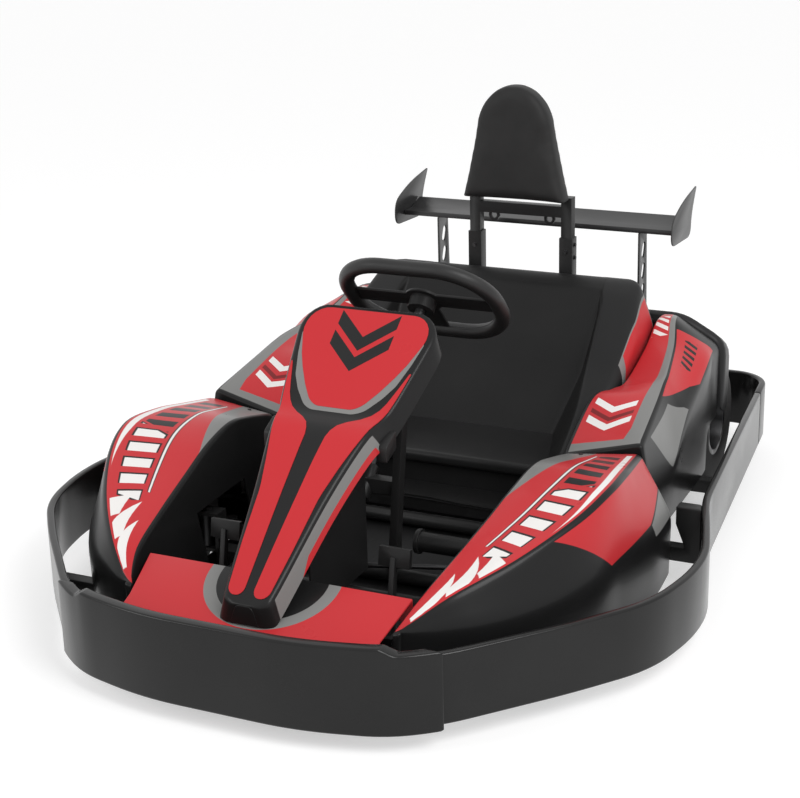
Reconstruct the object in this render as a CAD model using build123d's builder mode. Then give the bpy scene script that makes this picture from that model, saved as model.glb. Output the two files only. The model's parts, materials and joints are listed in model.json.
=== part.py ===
"""Compact racing kart with a closed bumper ring, body pods, bucket seat and rear wing.

Millimetres. +Z is up, the kart drives towards -Y, and +X is its left side. The origin lies on
the ground below the middle of the bumper ring. Stations called d count rearwards from the nose.
"""

import os
from math import cos, radians, sin, sqrt, tan

from build123d import *

os.makedirs("parts", exist_ok=True)

# Main layout
front_overhang = 515
wheelbase = 925
rear_overhang = 300
front_axle_d = front_overhang
rear_axle_d = front_axle_d + wheelbase
overall_length = rear_axle_d + rear_overhang
seat_gap = 0.3
running_gap = 0.05
SIDES = (("left", 1), ("right", -1))

# Wheels
front_tyre_r = 125
front_tyre_w = 100
rear_tyre_r = 140
rear_tyre_w = 165
rim_r = 63
rim_wall = 4
tyre_shoulder = 22
spindle_r = 9
axle_r = 20
hub_r = 34

# Frame tubes
tube_r = 15
tray_t = 4
tray_z = 51
rail_z = tray_z + tray_t + tube_r
rail_top = rail_z + tube_r
rail_front_x = 230
rail_seat_x = 300
rail_rear_x = 265
rail_bend_r = 90
drive_front_d = rear_axle_d + 88
drive_rear_d = rear_axle_d + 195

# Steering
yoke_reach = 88
spindle_reach = 90
kingpin_x = rail_front_x + yoke_reach
front_wheel_x = kingpin_x + spindle_reach
hub_reach = 128
rear_wheel_x = rail_rear_x + hub_reach
kingpin_r = 6
knuckle_boss_r = 14
knuckle_boss_h = 68
steer_arm = 71
steer_arm_in = 13
pitman_arm = 42
pitman_eye_x = 12
column_tilt = 45
column_r = 10
wheel_centre_d = 885
wheel_centre_z = 535
column_length = 560
grip_r = 16
wheel_w = 360
wheel_h = 276
wheel_corner_r = 108
bearing_at = 414
support_set_back = 32
bearing_d = wheel_centre_d - bearing_at * cos(radians(column_tilt))
bearing_z = wheel_centre_z - bearing_at * sin(radians(column_tilt))
support_d = bearing_d - support_set_back

# Body panels
wall = 5
pod_bottom = rail_top
belt_z = 170
pod_lean = 0.2
pod_gap_d = 830
pod_gap = 14
wheel_sweep_room = 92
rear_tyre_room = 20
pod_half = front_wheel_x + front_tyre_w / 2 + wheel_sweep_room
rear_pod_half = rear_wheel_x + rear_tyre_w / 2 + rear_tyre_room

# Bumper ring
ring_t = 16
ring_room = 104
half_width = pod_half + ring_room + ring_t
ring_bottom = 43
ring_top = 175
nose_band_step = 8
nose_band_drop = 8
nose_band_rise = 8
nose_pad_rise = 22
nose_pad_half = 290
nose_end_d = 96
rear_band_d = overall_length - 150
rear_corner_r = 90
rear_half_width = half_width - 148
ring_round_share = 0.48

# Seat
seat_top = 483
seat_back_d = rear_axle_d - 35
seat_recess_half = 240
seat_half = 345
seat_wall = 6

# Headrest
post_x = 112
post_w = 25
sleeve_wall = 3.5
sleeve_top = 547
headrest_bottom = 632
headrest_top = 899
headrest_half = 128
headrest_t = 50

# Wing
wing_half = 343
wing_post_x = 252
wing_post_w = 65
wing_plate_t = 4
wing_post_top = 545


def y_at(d):
    """Row-frame y of a station d behind the nose."""
    return d - overall_length / 2


def save(piece, name):
    """Label a finished piece and write it as one file."""
    piece.part.label = name
    export_step(piece.part, f"parts/{name}.step")


def cross_section(points, d):
    """Face of (x, z) points on the upright plane at station d."""
    with BuildSketch(Plane.XZ.offset(-y_at(d))) as outline:
        with BuildLine():
            Polyline(*points, close=True)
        make_face()
    return outline.sketch.face()


def side_profile(points, x=0):
    """Face of (d, z) points on the lengthwise plane at x."""
    with BuildSketch(Plane.YZ.offset(x)) as outline:
        with BuildLine():
            Polyline(*[(y_at(d), z) for d, z in points], close=True)
        make_face()
    return outline.sketch.face()


def rounding(points, share):
    """Fillet radii for a polyline's inner points, each taking a share of its shorter leg."""
    radii = []
    for before, corner, after in zip(points, points[1:], points[2:]):
        leg_in = Vector(*corner) - Vector(*before)
        leg_out = Vector(*after) - Vector(*corner)
        turn = radians(leg_in.get_angle(leg_out))
        radii.append(share * min(leg_in.length, leg_out.length) / tan(turn / 2))
    return radii


# Bumper ring, control points of the left half: x, d
RING_POINTS = [
    (0, nose_band_step),
    (150, nose_band_step),
    (300, 44),
    (378, 100),
    (half_width - 130, 286),
    (half_width - 30, 420),
    (half_width, 560),
    (half_width, 660),
    (half_width - 34, 790),
    (half_width - 70, 910),
    (rear_half_width, overall_length),
    (0, overall_length),
]
ring_radii = rounding(RING_POINTS, ring_round_share)
ring_radii[-1] = rear_corner_r


def ring_outline(grow):
    """Plan face inside the ring's outer line, moved outwards by grow."""
    with BuildSketch() as outline:
        with BuildLine():
            FilletPolyline(*[(x, y_at(d)) for x, d in RING_POINTS], radius=ring_radii)
            mirror(about=Plane.YZ)
        make_face()
        offset(amount=grow, kind=Kind.ARC)
    return outline.sketch.face()


ring_outer = ring_outline(0)
ring_inner = ring_outline(-ring_t)
nose_outer = ring_outline(nose_band_step)

with BuildPart() as whole_ring:
    extrude(ring_outer, amount=ring_top - ring_bottom)
    extrude(ring_inner, amount=ring_top - ring_bottom, mode=Mode.SUBTRACT)
ring_solid = whole_ring.part.moved(Location((0, 0, ring_bottom)))

for side, sx in SIDES:
    with BuildPart() as side_band:
        add(ring_solid)
        with BuildSketch(Plane.XY.offset(ring_bottom)):
            with Locations((sx * overall_length / 2, y_at((nose_end_d + rear_band_d) / 2))):
                Rectangle(overall_length, rear_band_d - nose_end_d)
        extrude(amount=ring_top - ring_bottom, mode=Mode.INTERSECT)
    save(side_band, f"side_bumper_{side}")

with BuildPart() as rear_band:
    add(ring_solid)
    split(bisect_by=Plane.XZ.offset(-y_at(rear_band_d)), keep=Keep.BOTTOM)
save(rear_band, "rear_bumper")

nose_bottom = ring_bottom - nose_band_drop
nose_top = ring_top + nose_band_rise
nose_pad_top = ring_top + nose_pad_rise
with BuildPart() as nose_band:
    extrude(nose_outer, amount=nose_pad_top - nose_bottom)
    extrude(ring_inner, amount=nose_pad_top - nose_bottom, mode=Mode.SUBTRACT)
    split(bisect_by=Plane.XZ.offset(-y_at(nose_end_d)), keep=Keep.TOP)
    with BuildSketch(Plane.XZ.offset(-y_at(0))):
        with BuildLine():
            Polyline(
                (-half_width, 0),
                (half_width, 0),
                (half_width, nose_top - nose_bottom),
                (nose_pad_half + nose_pad_rise, nose_top - nose_bottom),
                (nose_pad_half, nose_pad_top - nose_bottom),
                (-nose_pad_half, nose_pad_top - nose_bottom),
                (-nose_pad_half - nose_pad_rise, nose_top - nose_bottom),
                (-half_width, nose_top - nose_bottom),
                close=True,
            )
        make_face()
    extrude(amount=overall_length, both=True, mode=Mode.INTERSECT)
nose_band.part = nose_band.part.moved(Location((0, 0, nose_bottom)))
save(nose_band, "front_bumper")

# Frame rails: x, d
RAIL_POINTS = [
    (rail_front_x, 150),
    (rail_front_x, 600),
    (rail_seat_x, 790),
    (rail_seat_x, rear_axle_d - 230),
    (rail_rear_x, rear_axle_d - 110),
    (rail_rear_x, overall_length - 80),
]
with BuildPart() as rails:
    for sx in (1, -1):
        with BuildLine(Plane.XY.offset(rail_z)) as rail_path:
            FilletPolyline(*[(sx * x, y_at(d)) for x, d in RAIL_POINTS], radius=rail_bend_r)
        with BuildSketch(Plane(rail_path.wire() @ 0, z_dir=rail_path.wire() % 0)):
            Circle(tube_r)
        sweep(path=rail_path.wire())
save(rails, "frame_rails")

seat_tube_d = rear_axle_d - 260

# Cross tubes: d, rail x there
CROSS_TUBES = [
    (180, rail_front_x),
    (front_axle_d - 60, rail_front_x),
    (support_d, rail_front_x),
    (pod_gap_d, rail_seat_x),
    (seat_tube_d, rail_seat_x),
    (drive_front_d, rail_rear_x),
    (drive_rear_d, rail_rear_x),
]
with BuildPart() as cross_tubes:
    for d, x in CROSS_TUBES:
        with BuildSketch(Plane.YZ):
            with Locations((y_at(d), rail_z)):
                Circle(tube_r)
        extrude(amount=x - tube_r, both=True)
save(cross_tubes, "frame_cross_tubes")

# Floor tray: x, d
TRAY_POINTS = [(150, 120), (rail_front_x + 12, 150), (rail_front_x + 12, 600), (rail_seat_x, 790), (rail_seat_x, 900)]
with BuildPart() as floor_tray:
    with BuildSketch(Plane.XY.offset(tray_z)):
        with BuildLine():
            right_edge = [(-x, y_at(d)) for x, d in reversed(TRAY_POINTS)]
            Polyline(*[(x, y_at(d)) for x, d in TRAY_POINTS], *right_edge, close=True)
        make_face()
    extrude(amount=tray_t)
save(floor_tray, "floor_tray")

stay_w = 30
stay_top = rail_top
stay_bottom = rail_top - stay_w
bracket_low = 135
bracket_high = 172
bracket_in = pod_half - 2
# Side stays: d, inner x, whether it carries a bracket at the ring
SIDE_STAYS = [
    (290, rail_front_x, False),
    (pod_gap_d + 40, rail_seat_x, True),
    (rear_axle_d - 200, rail_seat_x, False),
]
with BuildPart() as stays:
    for sx in (1, -1):
        for d, inner_x, has_bracket in SIDE_STAYS:
            with BuildSketch(Plane.XZ.offset(-y_at(d))):
                with BuildLine():
                    if has_bracket:
                        Polyline(
                            (sx * (inner_x + tube_r), stay_bottom),
                            (sx * half_width, stay_bottom),
                            (sx * half_width, bracket_high),
                            (sx * bracket_in, bracket_high),
                            (sx * bracket_in, bracket_low),
                            (sx * (bracket_in + 20), stay_top),
                            (sx * (inner_x + tube_r), stay_top),
                            close=True,
                        )
                    else:
                        Polyline(
                            (sx * (inner_x + tube_r), stay_bottom),
                            (sx * half_width, stay_bottom),
                            (sx * half_width, stay_top),
                            (sx * (inner_x + tube_r), stay_top),
                            close=True,
                        )
                make_face()
            extrude(amount=stay_w / 2, both=True)
        for x, start, end in ((150, 0, 180 - tube_r), (180, drive_rear_d + tube_r, overall_length)):
            with BuildSketch(Plane.XY.offset(stay_bottom)):
                with Locations((sx * x, y_at((start + end) / 2))):
                    Rectangle(stay_w, end - start)
            extrude(amount=stay_w)
    extrude(ring_inner, amount=overall_length, mode=Mode.INTERSECT)
save(stays, "bumper_stays")

# Nose deck
deck_front_z = 128
deck_rear_d = 228
deck_rear_z = 199
deck_half_front = 250
deck_half_rear = 266
with BuildPart() as nose_deck:
    extrude(ring_outline(-ring_t - seat_gap), amount=nose_top * 2)
    deck_profile = side_profile(
        [
            (0, deck_front_z - wall),
            (0, deck_front_z),
            (40, deck_front_z),
            (deck_rear_d, deck_rear_z),
            (deck_rear_d, deck_rear_z - 45),
            (deck_rear_d - wall, deck_rear_z - 45),
            (deck_rear_d - wall, deck_rear_z - wall - 2),
            (40, deck_front_z - wall),
        ]
    )
    extrude(deck_profile, amount=half_width, both=True, mode=Mode.INTERSECT)
    with BuildSketch():
        with BuildLine():
            Polyline(
                (deck_half_front, y_at(0)),
                (deck_half_front, y_at(130)),
                (deck_half_rear, y_at(deck_rear_d)),
                (-deck_half_rear, y_at(deck_rear_d)),
                (-deck_half_front, y_at(130)),
                (-deck_half_front, y_at(0)),
                close=True,
            )
        make_face()
    extrude(amount=nose_top * 2, mode=Mode.INTERSECT)
save(nose_deck, "nose_deck")

# Front pod sections: d, inner edge x and z, then inset from pod_half and z of the ridge, inset of the belt,
# and how far the outer wall hangs below the stays
FRONT_POD = [
    (150, 262, 186, 262, 192, 238, 0),
    (215, 281, 208, 207, 222, 180, 0),
    (320, 296, 238, 123, 260, 101, 0),
    (440, 310, 268, 58, 299, 42, 36),
    (540, 320, 294, 32, 323, 16, 40),
    (640, 326, 308, 38, 318, 2, 40),
    (720, 329, 294, 50, 305, 0, 40),
    (pod_gap_d - pod_gap / 2, 330, 266, 66, 287, 5, 40),
]
notch_top = 190
notch_front = front_axle_d - 75
notch_rear = front_axle_d + 125
for side, sx in SIDES:
    skins = []
    hollows = []
    for row, (d, inner_x, inner_z, ridge_inset, ridge_z, belt_inset, hang) in enumerate(FRONT_POD):
        ridge_x = pod_half - ridge_inset
        belt_x = pod_half - belt_inset
        foot_in = inner_x - pod_lean * (inner_z - pod_bottom)
        skin = [
            (foot_in, pod_bottom + 1.5),
            (inner_x, inner_z),
            (ridge_x, ridge_z),
            (belt_x, belt_z),
            (belt_x - 6, pod_bottom + seat_gap - hang),
        ]
        hollow = [
            (foot_in + wall, pod_bottom - 1),
            (inner_x + wall, inner_z - wall),
            (ridge_x - wall, ridge_z - wall),
            (belt_x - wall, belt_z),
            (belt_x - 6 - wall, pod_bottom - 1 - hang),
        ]
        skins.append(cross_section([(sx * x, z) for x, z in skin], d))
        inside_d = d - wall if row == len(FRONT_POD) - 1 else d
        if row > 0:
            hollows.append(cross_section([(sx * x, z) for x, z in hollow], inside_d))
    with BuildPart() as front_pod:
        loft(skins, ruled=True)
        loft(hollows, ruled=True, mode=Mode.SUBTRACT)
        with BuildSketch(Plane.XY):
            with Locations((sx * 270, y_at((notch_front + notch_rear) / 2))):
                Rectangle(150, notch_rear - notch_front)
        extrude(amount=notch_top, mode=Mode.SUBTRACT)
    save(front_pod, f"front_pod_{side}")

# Rear pod sections: share of the way to the rear edge, inner edge x and z, then inset from rear_pod_half
# and z of the ridge and of the hip
rear_pod_start = pod_gap_d + pod_gap / 2
rear_pod_end = seat_back_d - 4
REAR_POD = [
    (0.0, 318, 256, 13.5, 300, -6.5, 190),
    (0.275, 320, 325, 28.5, 334, -5.5, 190),
    (0.41, 338, 324, 37.5, 352, -4.5, 250),
    (0.51, 352, 325, 45.5, 360, -3.5, 288),
    (0.755, 352, 360, 75.5, 373, -0.5, 342),
    (0.90, 352, 398, 100.5, 404, 8.5, 345),
    (1.0, 352, 400, 112.5, 402, 10.5, 340),
]
arch_r = rear_tyre_r + 14


def along_pod(share):
    """Station at a share of the rear pods' length."""
    return rear_pod_start + share * (rear_pod_end - rear_pod_start)


for side, sx in SIDES:
    skins = []
    hollows = []
    for row, (share, inner_x, inner_z, ridge_inset, ridge_z, hip_inset, hip_z) in enumerate(REAR_POD):
        d = along_pod(share)
        ridge_x = rear_pod_half - ridge_inset
        hip_x = rear_pod_half - hip_inset
        skin = [
            (inner_x, pod_bottom + seat_gap),
            (inner_x, inner_z),
            (ridge_x, ridge_z),
            (hip_x, hip_z),
            (hip_x - 4, pod_bottom + seat_gap),
        ]
        hollow = [
            (inner_x + wall, pod_bottom - 1),
            (inner_x + wall, inner_z - wall),
            (ridge_x - wall, ridge_z - 1.5 * wall),
            (hip_x - wall, hip_z),
            (hip_x - 4 - wall, pod_bottom - 1),
        ]
        skins.append(cross_section([(sx * x, z) for x, z in skin], d))
        inside_d = d
        if row == 0:
            inside_d = d + wall
        if row == len(REAR_POD) - 1:
            inside_d = d - wall
        hollows.append(cross_section([(sx * x, z) for x, z in hollow], inside_d))
    with BuildPart() as rear_pod:
        loft(skins, ruled=True)
        loft(hollows, ruled=True, mode=Mode.SUBTRACT)
        with BuildSketch(Plane.YZ.offset(sx * rear_wheel_x)):
            with Locations((y_at(rear_axle_d), rear_tyre_r)):
                Circle(arch_r)
        extrude(amount=half_width / 2, both=True, mode=Mode.SUBTRACT)
    save(rear_pod, f"rear_pod_{side}")

# Rear fender sections: d, ridge x and z, hip x, bottom z
deck_half = 305
fender_in = deck_half + seat_gap
REAR_FENDER = [
    (seat_back_d + seat_gap, 395, 402, 494, 180),
    (rear_axle_d + 10, 405, 392, 492, 180),
    (rear_axle_d + 55, 410, 366, 486, 190),
]
fender_belt = 340
with BuildPart() as fenders:
    for sx in (1, -1):
        skins = []
        hollows = []
        for d, ridge_x, ridge_z, hip_x, foot_z in REAR_FENDER:
            skin = [
                (fender_in, foot_z),
                (fender_in, ridge_z),
                (ridge_x, ridge_z),
                (hip_x, fender_belt),
                (hip_x, foot_z),
            ]
            hollow = [
                (fender_in - 1, foot_z - 1),
                (fender_in - 1, ridge_z - wall),
                (ridge_x - wall / 2, ridge_z - wall),
                (hip_x - wall, fender_belt - wall / 2),
                (hip_x - wall, foot_z - 1),
            ]
            skins.append(cross_section([(sx * x, z) for x, z in skin], d))
            hollows.append(cross_section([(sx * x, z) for x, z in hollow], d))
        loft(skins, ruled=True)
        loft(hollows, ruled=True, mode=Mode.SUBTRACT)
        with BuildSketch(Plane.YZ.offset(sx * rear_wheel_x)):
            with Locations((y_at(rear_axle_d), rear_tyre_r)):
                Circle(arch_r)
        extrude(amount=rear_tyre_w / 2 + 8, both=True, mode=Mode.SUBTRACT)
save(fenders, "rear_fenders")

# Rear deck between the fenders, over the drive
deck_start = seat_back_d + seat_gap
deck_end = overall_length - 85
deck_slope_start_z = 452
deck_slope_end_z = 292
deck_skirt = 150


def deck_z(d):
    """Height of the rear deck's top at station d."""
    share = (d - deck_start) / (deck_end - deck_start)
    return deck_slope_start_z + share * (deck_slope_end_z - deck_slope_start_z)


with BuildPart() as rear_deck:
    shell = side_profile(
        [
            (deck_start, deck_slope_start_z - 40),
            (deck_start, deck_slope_start_z),
            (deck_end, deck_slope_end_z),
            (deck_end, deck_skirt),
            (deck_end - wall, deck_skirt),
            (deck_end - wall, deck_slope_end_z - wall),
            (deck_start + wall, deck_slope_start_z - wall - 3),
            (deck_start + wall, deck_slope_start_z - 40),
        ]
    )
    extrude(shell, amount=deck_half, both=True)
    with BuildSketch(Plane.XY):
        with Locations((post_x, y_at(rear_axle_d)), (-post_x, y_at(rear_axle_d))):
            Rectangle(post_w + 2 * sleeve_wall + 4, post_w + 2 * sleeve_wall + 4)
    extrude(amount=headrest_top, mode=Mode.SUBTRACT)
save(rear_deck, "rear_deck")

# Bucket seat: d, z of the side view, then the hollow that the driver sits in
seat_front_d = 840
SEAT_SIDE = [
    (seat_front_d, rail_top + seat_gap),
    (seat_front_d, 165),
    (seat_front_d + 40, 200),
    (1000, 262),
    (seat_back_d - 80, 462),
    (seat_back_d - 30, seat_top),
    (seat_back_d, seat_top - 8),
    (seat_back_d, 290),
    (seat_back_d - 110, 240),
    (seat_back_d - 110, rail_top + seat_gap),
]
SEAT_HOLLOW = [
    (seat_front_d - 1, 112),
    (1010, 122),
    (1060, 150),
    (seat_back_d - 92, seat_top + 40),
    (seat_front_d - 1, seat_top + 40),
]
seat_knee_half = 310
SEAT_PLAN = [
    (seat_knee_half, seat_front_d),
    (seat_knee_half, along_pod(0.29)),
    (seat_half, along_pod(0.47)),
    (seat_half, seat_back_d),
]
seat_pan_half = 200
pan_edge_z = 130
hip_edge_z = 300
flank_z = seat_top - 104
flank_in = 43


def seat_block(half_shift, profile):
    """Seat body grown sideways by half_shift, cut to the side profile and the sloping flanks."""
    with BuildPart() as block:
        with BuildSketch():
            with BuildLine():
                left = [(x + half_shift, y_at(d)) for x, d in SEAT_PLAN]
                right = [(-x, y) for x, y in reversed(left)]
                Polyline(*left, *right, close=True)
            make_face()
        extrude(amount=seat_top * 2)
        extrude(profile, amount=half_width, both=True, mode=Mode.INTERSECT)
        with BuildSketch(Plane.XZ):
            for sx in (1, -1):
                with BuildLine():
                    Polyline(
                        (sx * (seat_half + half_shift), flank_z),
                        (sx * (seat_half + half_shift - flank_in), seat_top),
                        (sx * (seat_half + half_shift - flank_in), seat_top * 2),
                        (sx * half_width, seat_top * 2),
                        (sx * half_width, flank_z),
                        close=True,
                    )
                make_face()
        extrude(amount=overall_length, both=True, mode=Mode.SUBTRACT)
    return block.part


def seat_recess(grow):
    """Space that the driver sits in, grown by grow on each wall."""
    with BuildPart() as recess:
        low = [(d, z - grow) for d, z in SEAT_HOLLOW[:3]]
        rear = [(SEAT_HOLLOW[3][0] + grow * 1.4, SEAT_HOLLOW[3][1])]
        extrude(side_profile(low + rear + SEAT_HOLLOW[4:]), amount=half_width, both=True)
        with BuildSketch(Plane.XZ):
            with BuildLine():
                Polyline(
                    (seat_pan_half + grow, 60),
                    (seat_pan_half + grow, pan_edge_z),
                    (seat_recess_half + grow, hip_edge_z),
                    (seat_recess_half + grow, seat_top * 2),
                    (-seat_recess_half - grow, seat_top * 2),
                    (-seat_recess_half - grow, hip_edge_z),
                    (-seat_pan_half - grow, pan_edge_z),
                    (-seat_pan_half - grow, 60),
                    close=True,
                )
            make_face()
        extrude(amount=overall_length, both=True, mode=Mode.INTERSECT)
    return recess.part


inside_side = [
    (d + seat_wall if d < 1050 else d - seat_wall, z - 1 if z < 100 else z - seat_wall * 1.3) for d, z in SEAT_SIDE
]
with BuildPart() as seat_inside:
    add(seat_block(-seat_wall, side_profile(inside_side)))
    add(seat_recess(seat_wall), mode=Mode.SUBTRACT)
with BuildPart() as seat:
    add(seat_block(0, side_profile(SEAT_SIDE)))
    add(seat_recess(0), mode=Mode.SUBTRACT)
    add(seat_inside.part, mode=Mode.SUBTRACT)
save(seat, "seat")

# Axle carriers and the hoop that holds the headrest
carrier_t = 24
carrier_w = 70
hoop_w = post_w + 2 * sleeve_wall
hoop_z = 230
post_foot = hoop_z + hoop_w + 90
with BuildPart() as carriers:
    for sx in (1, -1):
        with BuildSketch(Plane.YZ.offset(sx * rail_rear_x - carrier_t / 2)):
            with Locations((y_at(rear_axle_d), (rail_top + hoop_z) / 2)):
                Rectangle(carrier_w, hoop_z - rail_top)
            with Locations((y_at(rear_axle_d), rear_tyre_r)):
                Circle(axle_r + running_gap, mode=Mode.SUBTRACT)
        extrude(amount=carrier_t)
save(carriers, "axle_carriers")

with BuildPart() as hoop:
    with BuildSketch(Plane.YZ):
        with Locations((y_at(rear_axle_d), hoop_z + hoop_w / 2)):
            Rectangle(hoop_w, hoop_w)
    extrude(amount=rail_rear_x + carrier_t / 2, both=True)
    with BuildSketch(Plane.XY.offset(hoop_z + hoop_w)):
        with Locations((post_x, y_at(rear_axle_d)), (-post_x, y_at(rear_axle_d))):
            Rectangle(hoop_w, hoop_w)
    extrude(amount=sleeve_top - hoop_z - hoop_w)
    with BuildSketch(Plane.XY.offset(headrest_bottom)):
        with Locations((post_x, y_at(rear_axle_d)), (-post_x, y_at(rear_axle_d))):
            Rectangle(post_w + 2 * seat_gap, post_w + 2 * seat_gap)
    extrude(amount=-(headrest_bottom - post_foot), mode=Mode.SUBTRACT)
save(hoop, "headrest_hoop")

crossbar_z = headrest_bottom - 26
belt_eye_x = 68
belt_eye_r = 7
belt_eye_wall = 6
belt_eye_t = 6
belt_eye_z = crossbar_z - post_w / 2 - belt_eye_r
with BuildPart() as headrest_frame:
    with BuildSketch(Plane.XY.offset(post_foot)):
        with Locations((post_x, y_at(rear_axle_d)), (-post_x, y_at(rear_axle_d))):
            Rectangle(post_w, post_w)
    extrude(amount=headrest_bottom + post_w - post_foot)
    with BuildSketch(Plane.YZ):
        with Locations((y_at(rear_axle_d), crossbar_z), (y_at(rear_axle_d), headrest_bottom + post_w / 2)):
            Rectangle(post_w, post_w)
    extrude(amount=post_x, both=True)
    with BuildSketch(Plane.XZ.offset(-y_at(rear_axle_d) - belt_eye_t / 2)):
        with Locations((belt_eye_x, belt_eye_z), (-belt_eye_x, belt_eye_z)):
            Circle(belt_eye_r + belt_eye_wall)
    extrude(amount=belt_eye_t)
    with BuildSketch(Plane.XZ.offset(-y_at(rear_axle_d) - post_w)):
        with Locations((belt_eye_x, belt_eye_z), (-belt_eye_x, belt_eye_z)):
            Circle(belt_eye_r)
    extrude(amount=2 * post_w, mode=Mode.SUBTRACT)
save(headrest_frame, "headrest_frame")

pad_back_y = y_at(rear_axle_d) - post_w / 2 - seat_gap
pad_top_r = 88
pad_taper = 28
with BuildPart() as headrest_pad:
    with BuildSketch(Plane.XZ.offset(-pad_back_y)):
        with BuildLine():
            Polyline(
                (-headrest_half + pad_taper, headrest_top - pad_top_r),
                (-headrest_half, headrest_bottom),
                (headrest_half, headrest_bottom),
                (headrest_half - pad_taper, headrest_top - pad_top_r),
            )
            ThreePointArc(
                (headrest_half - pad_taper, headrest_top - pad_top_r),
                (0, headrest_top),
                (-headrest_half + pad_taper, headrest_top - pad_top_r),
            )
        make_face()
    extrude(amount=headrest_t)
save(headrest_pad, "headrest_pad")

# Wing
wing_post_d = overall_length - 174
blade_front_d = wing_post_d - 36
blade_front_z = 552
blade_chord = 92
blade_rise = 21
blade_t = 12
wing_slot_drop = 45
wing_slot_pitch = 50
with BuildPart() as wing_posts:
    for sx in (1, -1):
        post_outline = [
            (wing_post_d - wing_post_w / 2, deck_z(wing_post_d - wing_post_w / 2) + seat_gap),
            (wing_post_d + wing_post_w / 2, deck_z(wing_post_d + wing_post_w / 2) + seat_gap),
            (wing_post_d + wing_post_w / 2 - 12, wing_post_top),
            (wing_post_d - wing_post_w / 2 - 2, wing_post_top),
        ]
        extrude(side_profile(post_outline, sx * wing_post_x - wing_plate_t / 2), amount=wing_plate_t)
        with BuildSketch(Plane.YZ.offset(sx * wing_post_x - wing_plate_t)):
            for step in range(3):
                with Locations((y_at(wing_post_d - 2), wing_post_top - wing_slot_drop - wing_slot_pitch * step)):
                    SlotOverall(38, 22, rotation=70)
        extrude(amount=2 * wing_plate_t, mode=Mode.SUBTRACT)
save(wing_posts, "wing_posts")

with BuildPart() as wing_blade:
    blade = [
        (blade_front_d, blade_front_z - blade_t / 2 + seat_gap),
        (blade_front_d + blade_chord * 0.45, wing_post_top + seat_gap),
        (blade_front_d + blade_chord, blade_front_z + blade_rise),
        (blade_front_d + blade_chord * 0.45, wing_post_top + blade_t),
        (blade_front_d, blade_front_z + blade_t / 2),
    ]
    extrude(side_profile(blade), amount=wing_half - wing_plate_t / 2, both=True)
save(wing_blade, "wing_blade")

# Wing endplate outline: offset behind the wing post, z
WING_END = [(-86, 530), (-84, 590), (4, 620), (114, 636), (74, 572), (72, 522)]
with BuildPart() as wing_ends:
    for sx in (1, -1):
        end_outline = [(wing_post_d + offset_d, z) for offset_d, z in WING_END]
        extrude(side_profile(end_outline, sx * wing_half - wing_plate_t / 2), amount=wing_plate_t)
save(wing_ends, "wing_endplates")

# Fairing over the steering column: distance ahead of the steering wheel, top z, half width at the top
FAIRING = [
    (780, 192, 32),
    (760, 208, 46),
    (597, 334, 72),
    (485, 412, 96),
    (428, 430, 108),
    (385, 458, 120),
    (230, 576, 150),
]
fairing_depth = 46
fairing_flare = 12
fairing_wall = 4
fairing_low = 156
skins = []
hollows = []
for ahead, top_z, half in FAIRING:
    d = wheel_centre_d - ahead
    foot_z = max(top_z - fairing_depth, fairing_low)
    skin = [(half + fairing_flare, foot_z), (half, top_z), (-half, top_z), (-half - fairing_flare, foot_z)]
    edge = half - fairing_wall
    hollow = [
        (edge + fairing_flare, foot_z - 0.5),
        (edge, top_z - fairing_wall * 1.3),
        (-edge, top_z - fairing_wall * 1.3),
        (-edge - fairing_flare, foot_z - 0.5),
    ]
    skins.append(cross_section(skin, d))
    hollows.append(cross_section(hollow, d))
with BuildPart() as fairing:
    loft(skins, ruled=True)
    loft(hollows[1:], ruled=True, mode=Mode.SUBTRACT)
save(fairing, "steering_fairing")

# Steering column, its support, wheel and pitman plate
axis_y = cos(radians(column_tilt))
axis_z = sin(radians(column_tilt))
column_plane = Plane(origin=(0, y_at(wheel_centre_d), wheel_centre_z), x_dir=(1, 0, 0), z_dir=(0, axis_y, axis_z))
wheel_drop = 24

grip_half_w = wheel_w / 2 - grip_r
grip_half_h = wheel_h / 2 - grip_r
with BuildPart() as grip:
    with BuildLine(column_plane) as grip_path:
        FilletPolyline(
            (grip_half_w, -grip_half_h),
            (grip_half_w, grip_half_h),
            (-grip_half_w, grip_half_h),
            (-grip_half_w, -grip_half_h),
            radius=wheel_corner_r,
            close=True,
        )
    with BuildSketch(Plane(grip_path.wire() @ 0, z_dir=grip_path.wire() % 0)):
        Circle(grip_r)
    sweep(path=grip_path.wire())
save(grip, "steering_grip")

spoke_t = 6
with BuildPart() as spokes:
    with BuildSketch(column_plane.offset(-spoke_t / 2)):
        Rectangle(2 * grip_half_w, 44)
        with Locations((0, grip_half_h / 2)):
            Rectangle(46, grip_half_h)
        Circle(40)
    extrude(amount=spoke_t)
    with BuildSketch(column_plane.offset(-spoke_t / 2)):
        Circle(28)
    extrude(amount=-wheel_drop)
    add(grip.part, mode=Mode.SUBTRACT)
save(spokes, "steering_spokes")

pitman_t = 6
pitman_half = pitman_eye_x + 12
with BuildPart() as column:
    with BuildSketch(column_plane.offset(-spoke_t / 2 - wheel_drop)):
        Circle(column_r)
    extrude(amount=-(column_length - spoke_t / 2 - wheel_drop))
    with BuildSketch(column_plane.offset(-column_length)):
        with BuildLine():
            Polyline(
                (-column_r - 6, -column_r - 4),
                (column_r + 6, -column_r - 4),
                (pitman_half, pitman_arm + 12),
                (-pitman_half, pitman_arm + 12),
                close=True,
            )
        make_face()
    extrude(amount=pitman_t)
save(column, "steering_column")

bearing_r = 17
bearing_l = 70
leg_x = 72
leg_w = 16
leg_d = 26
leg_top_d = support_d + 80
bar_h = 28


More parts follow.
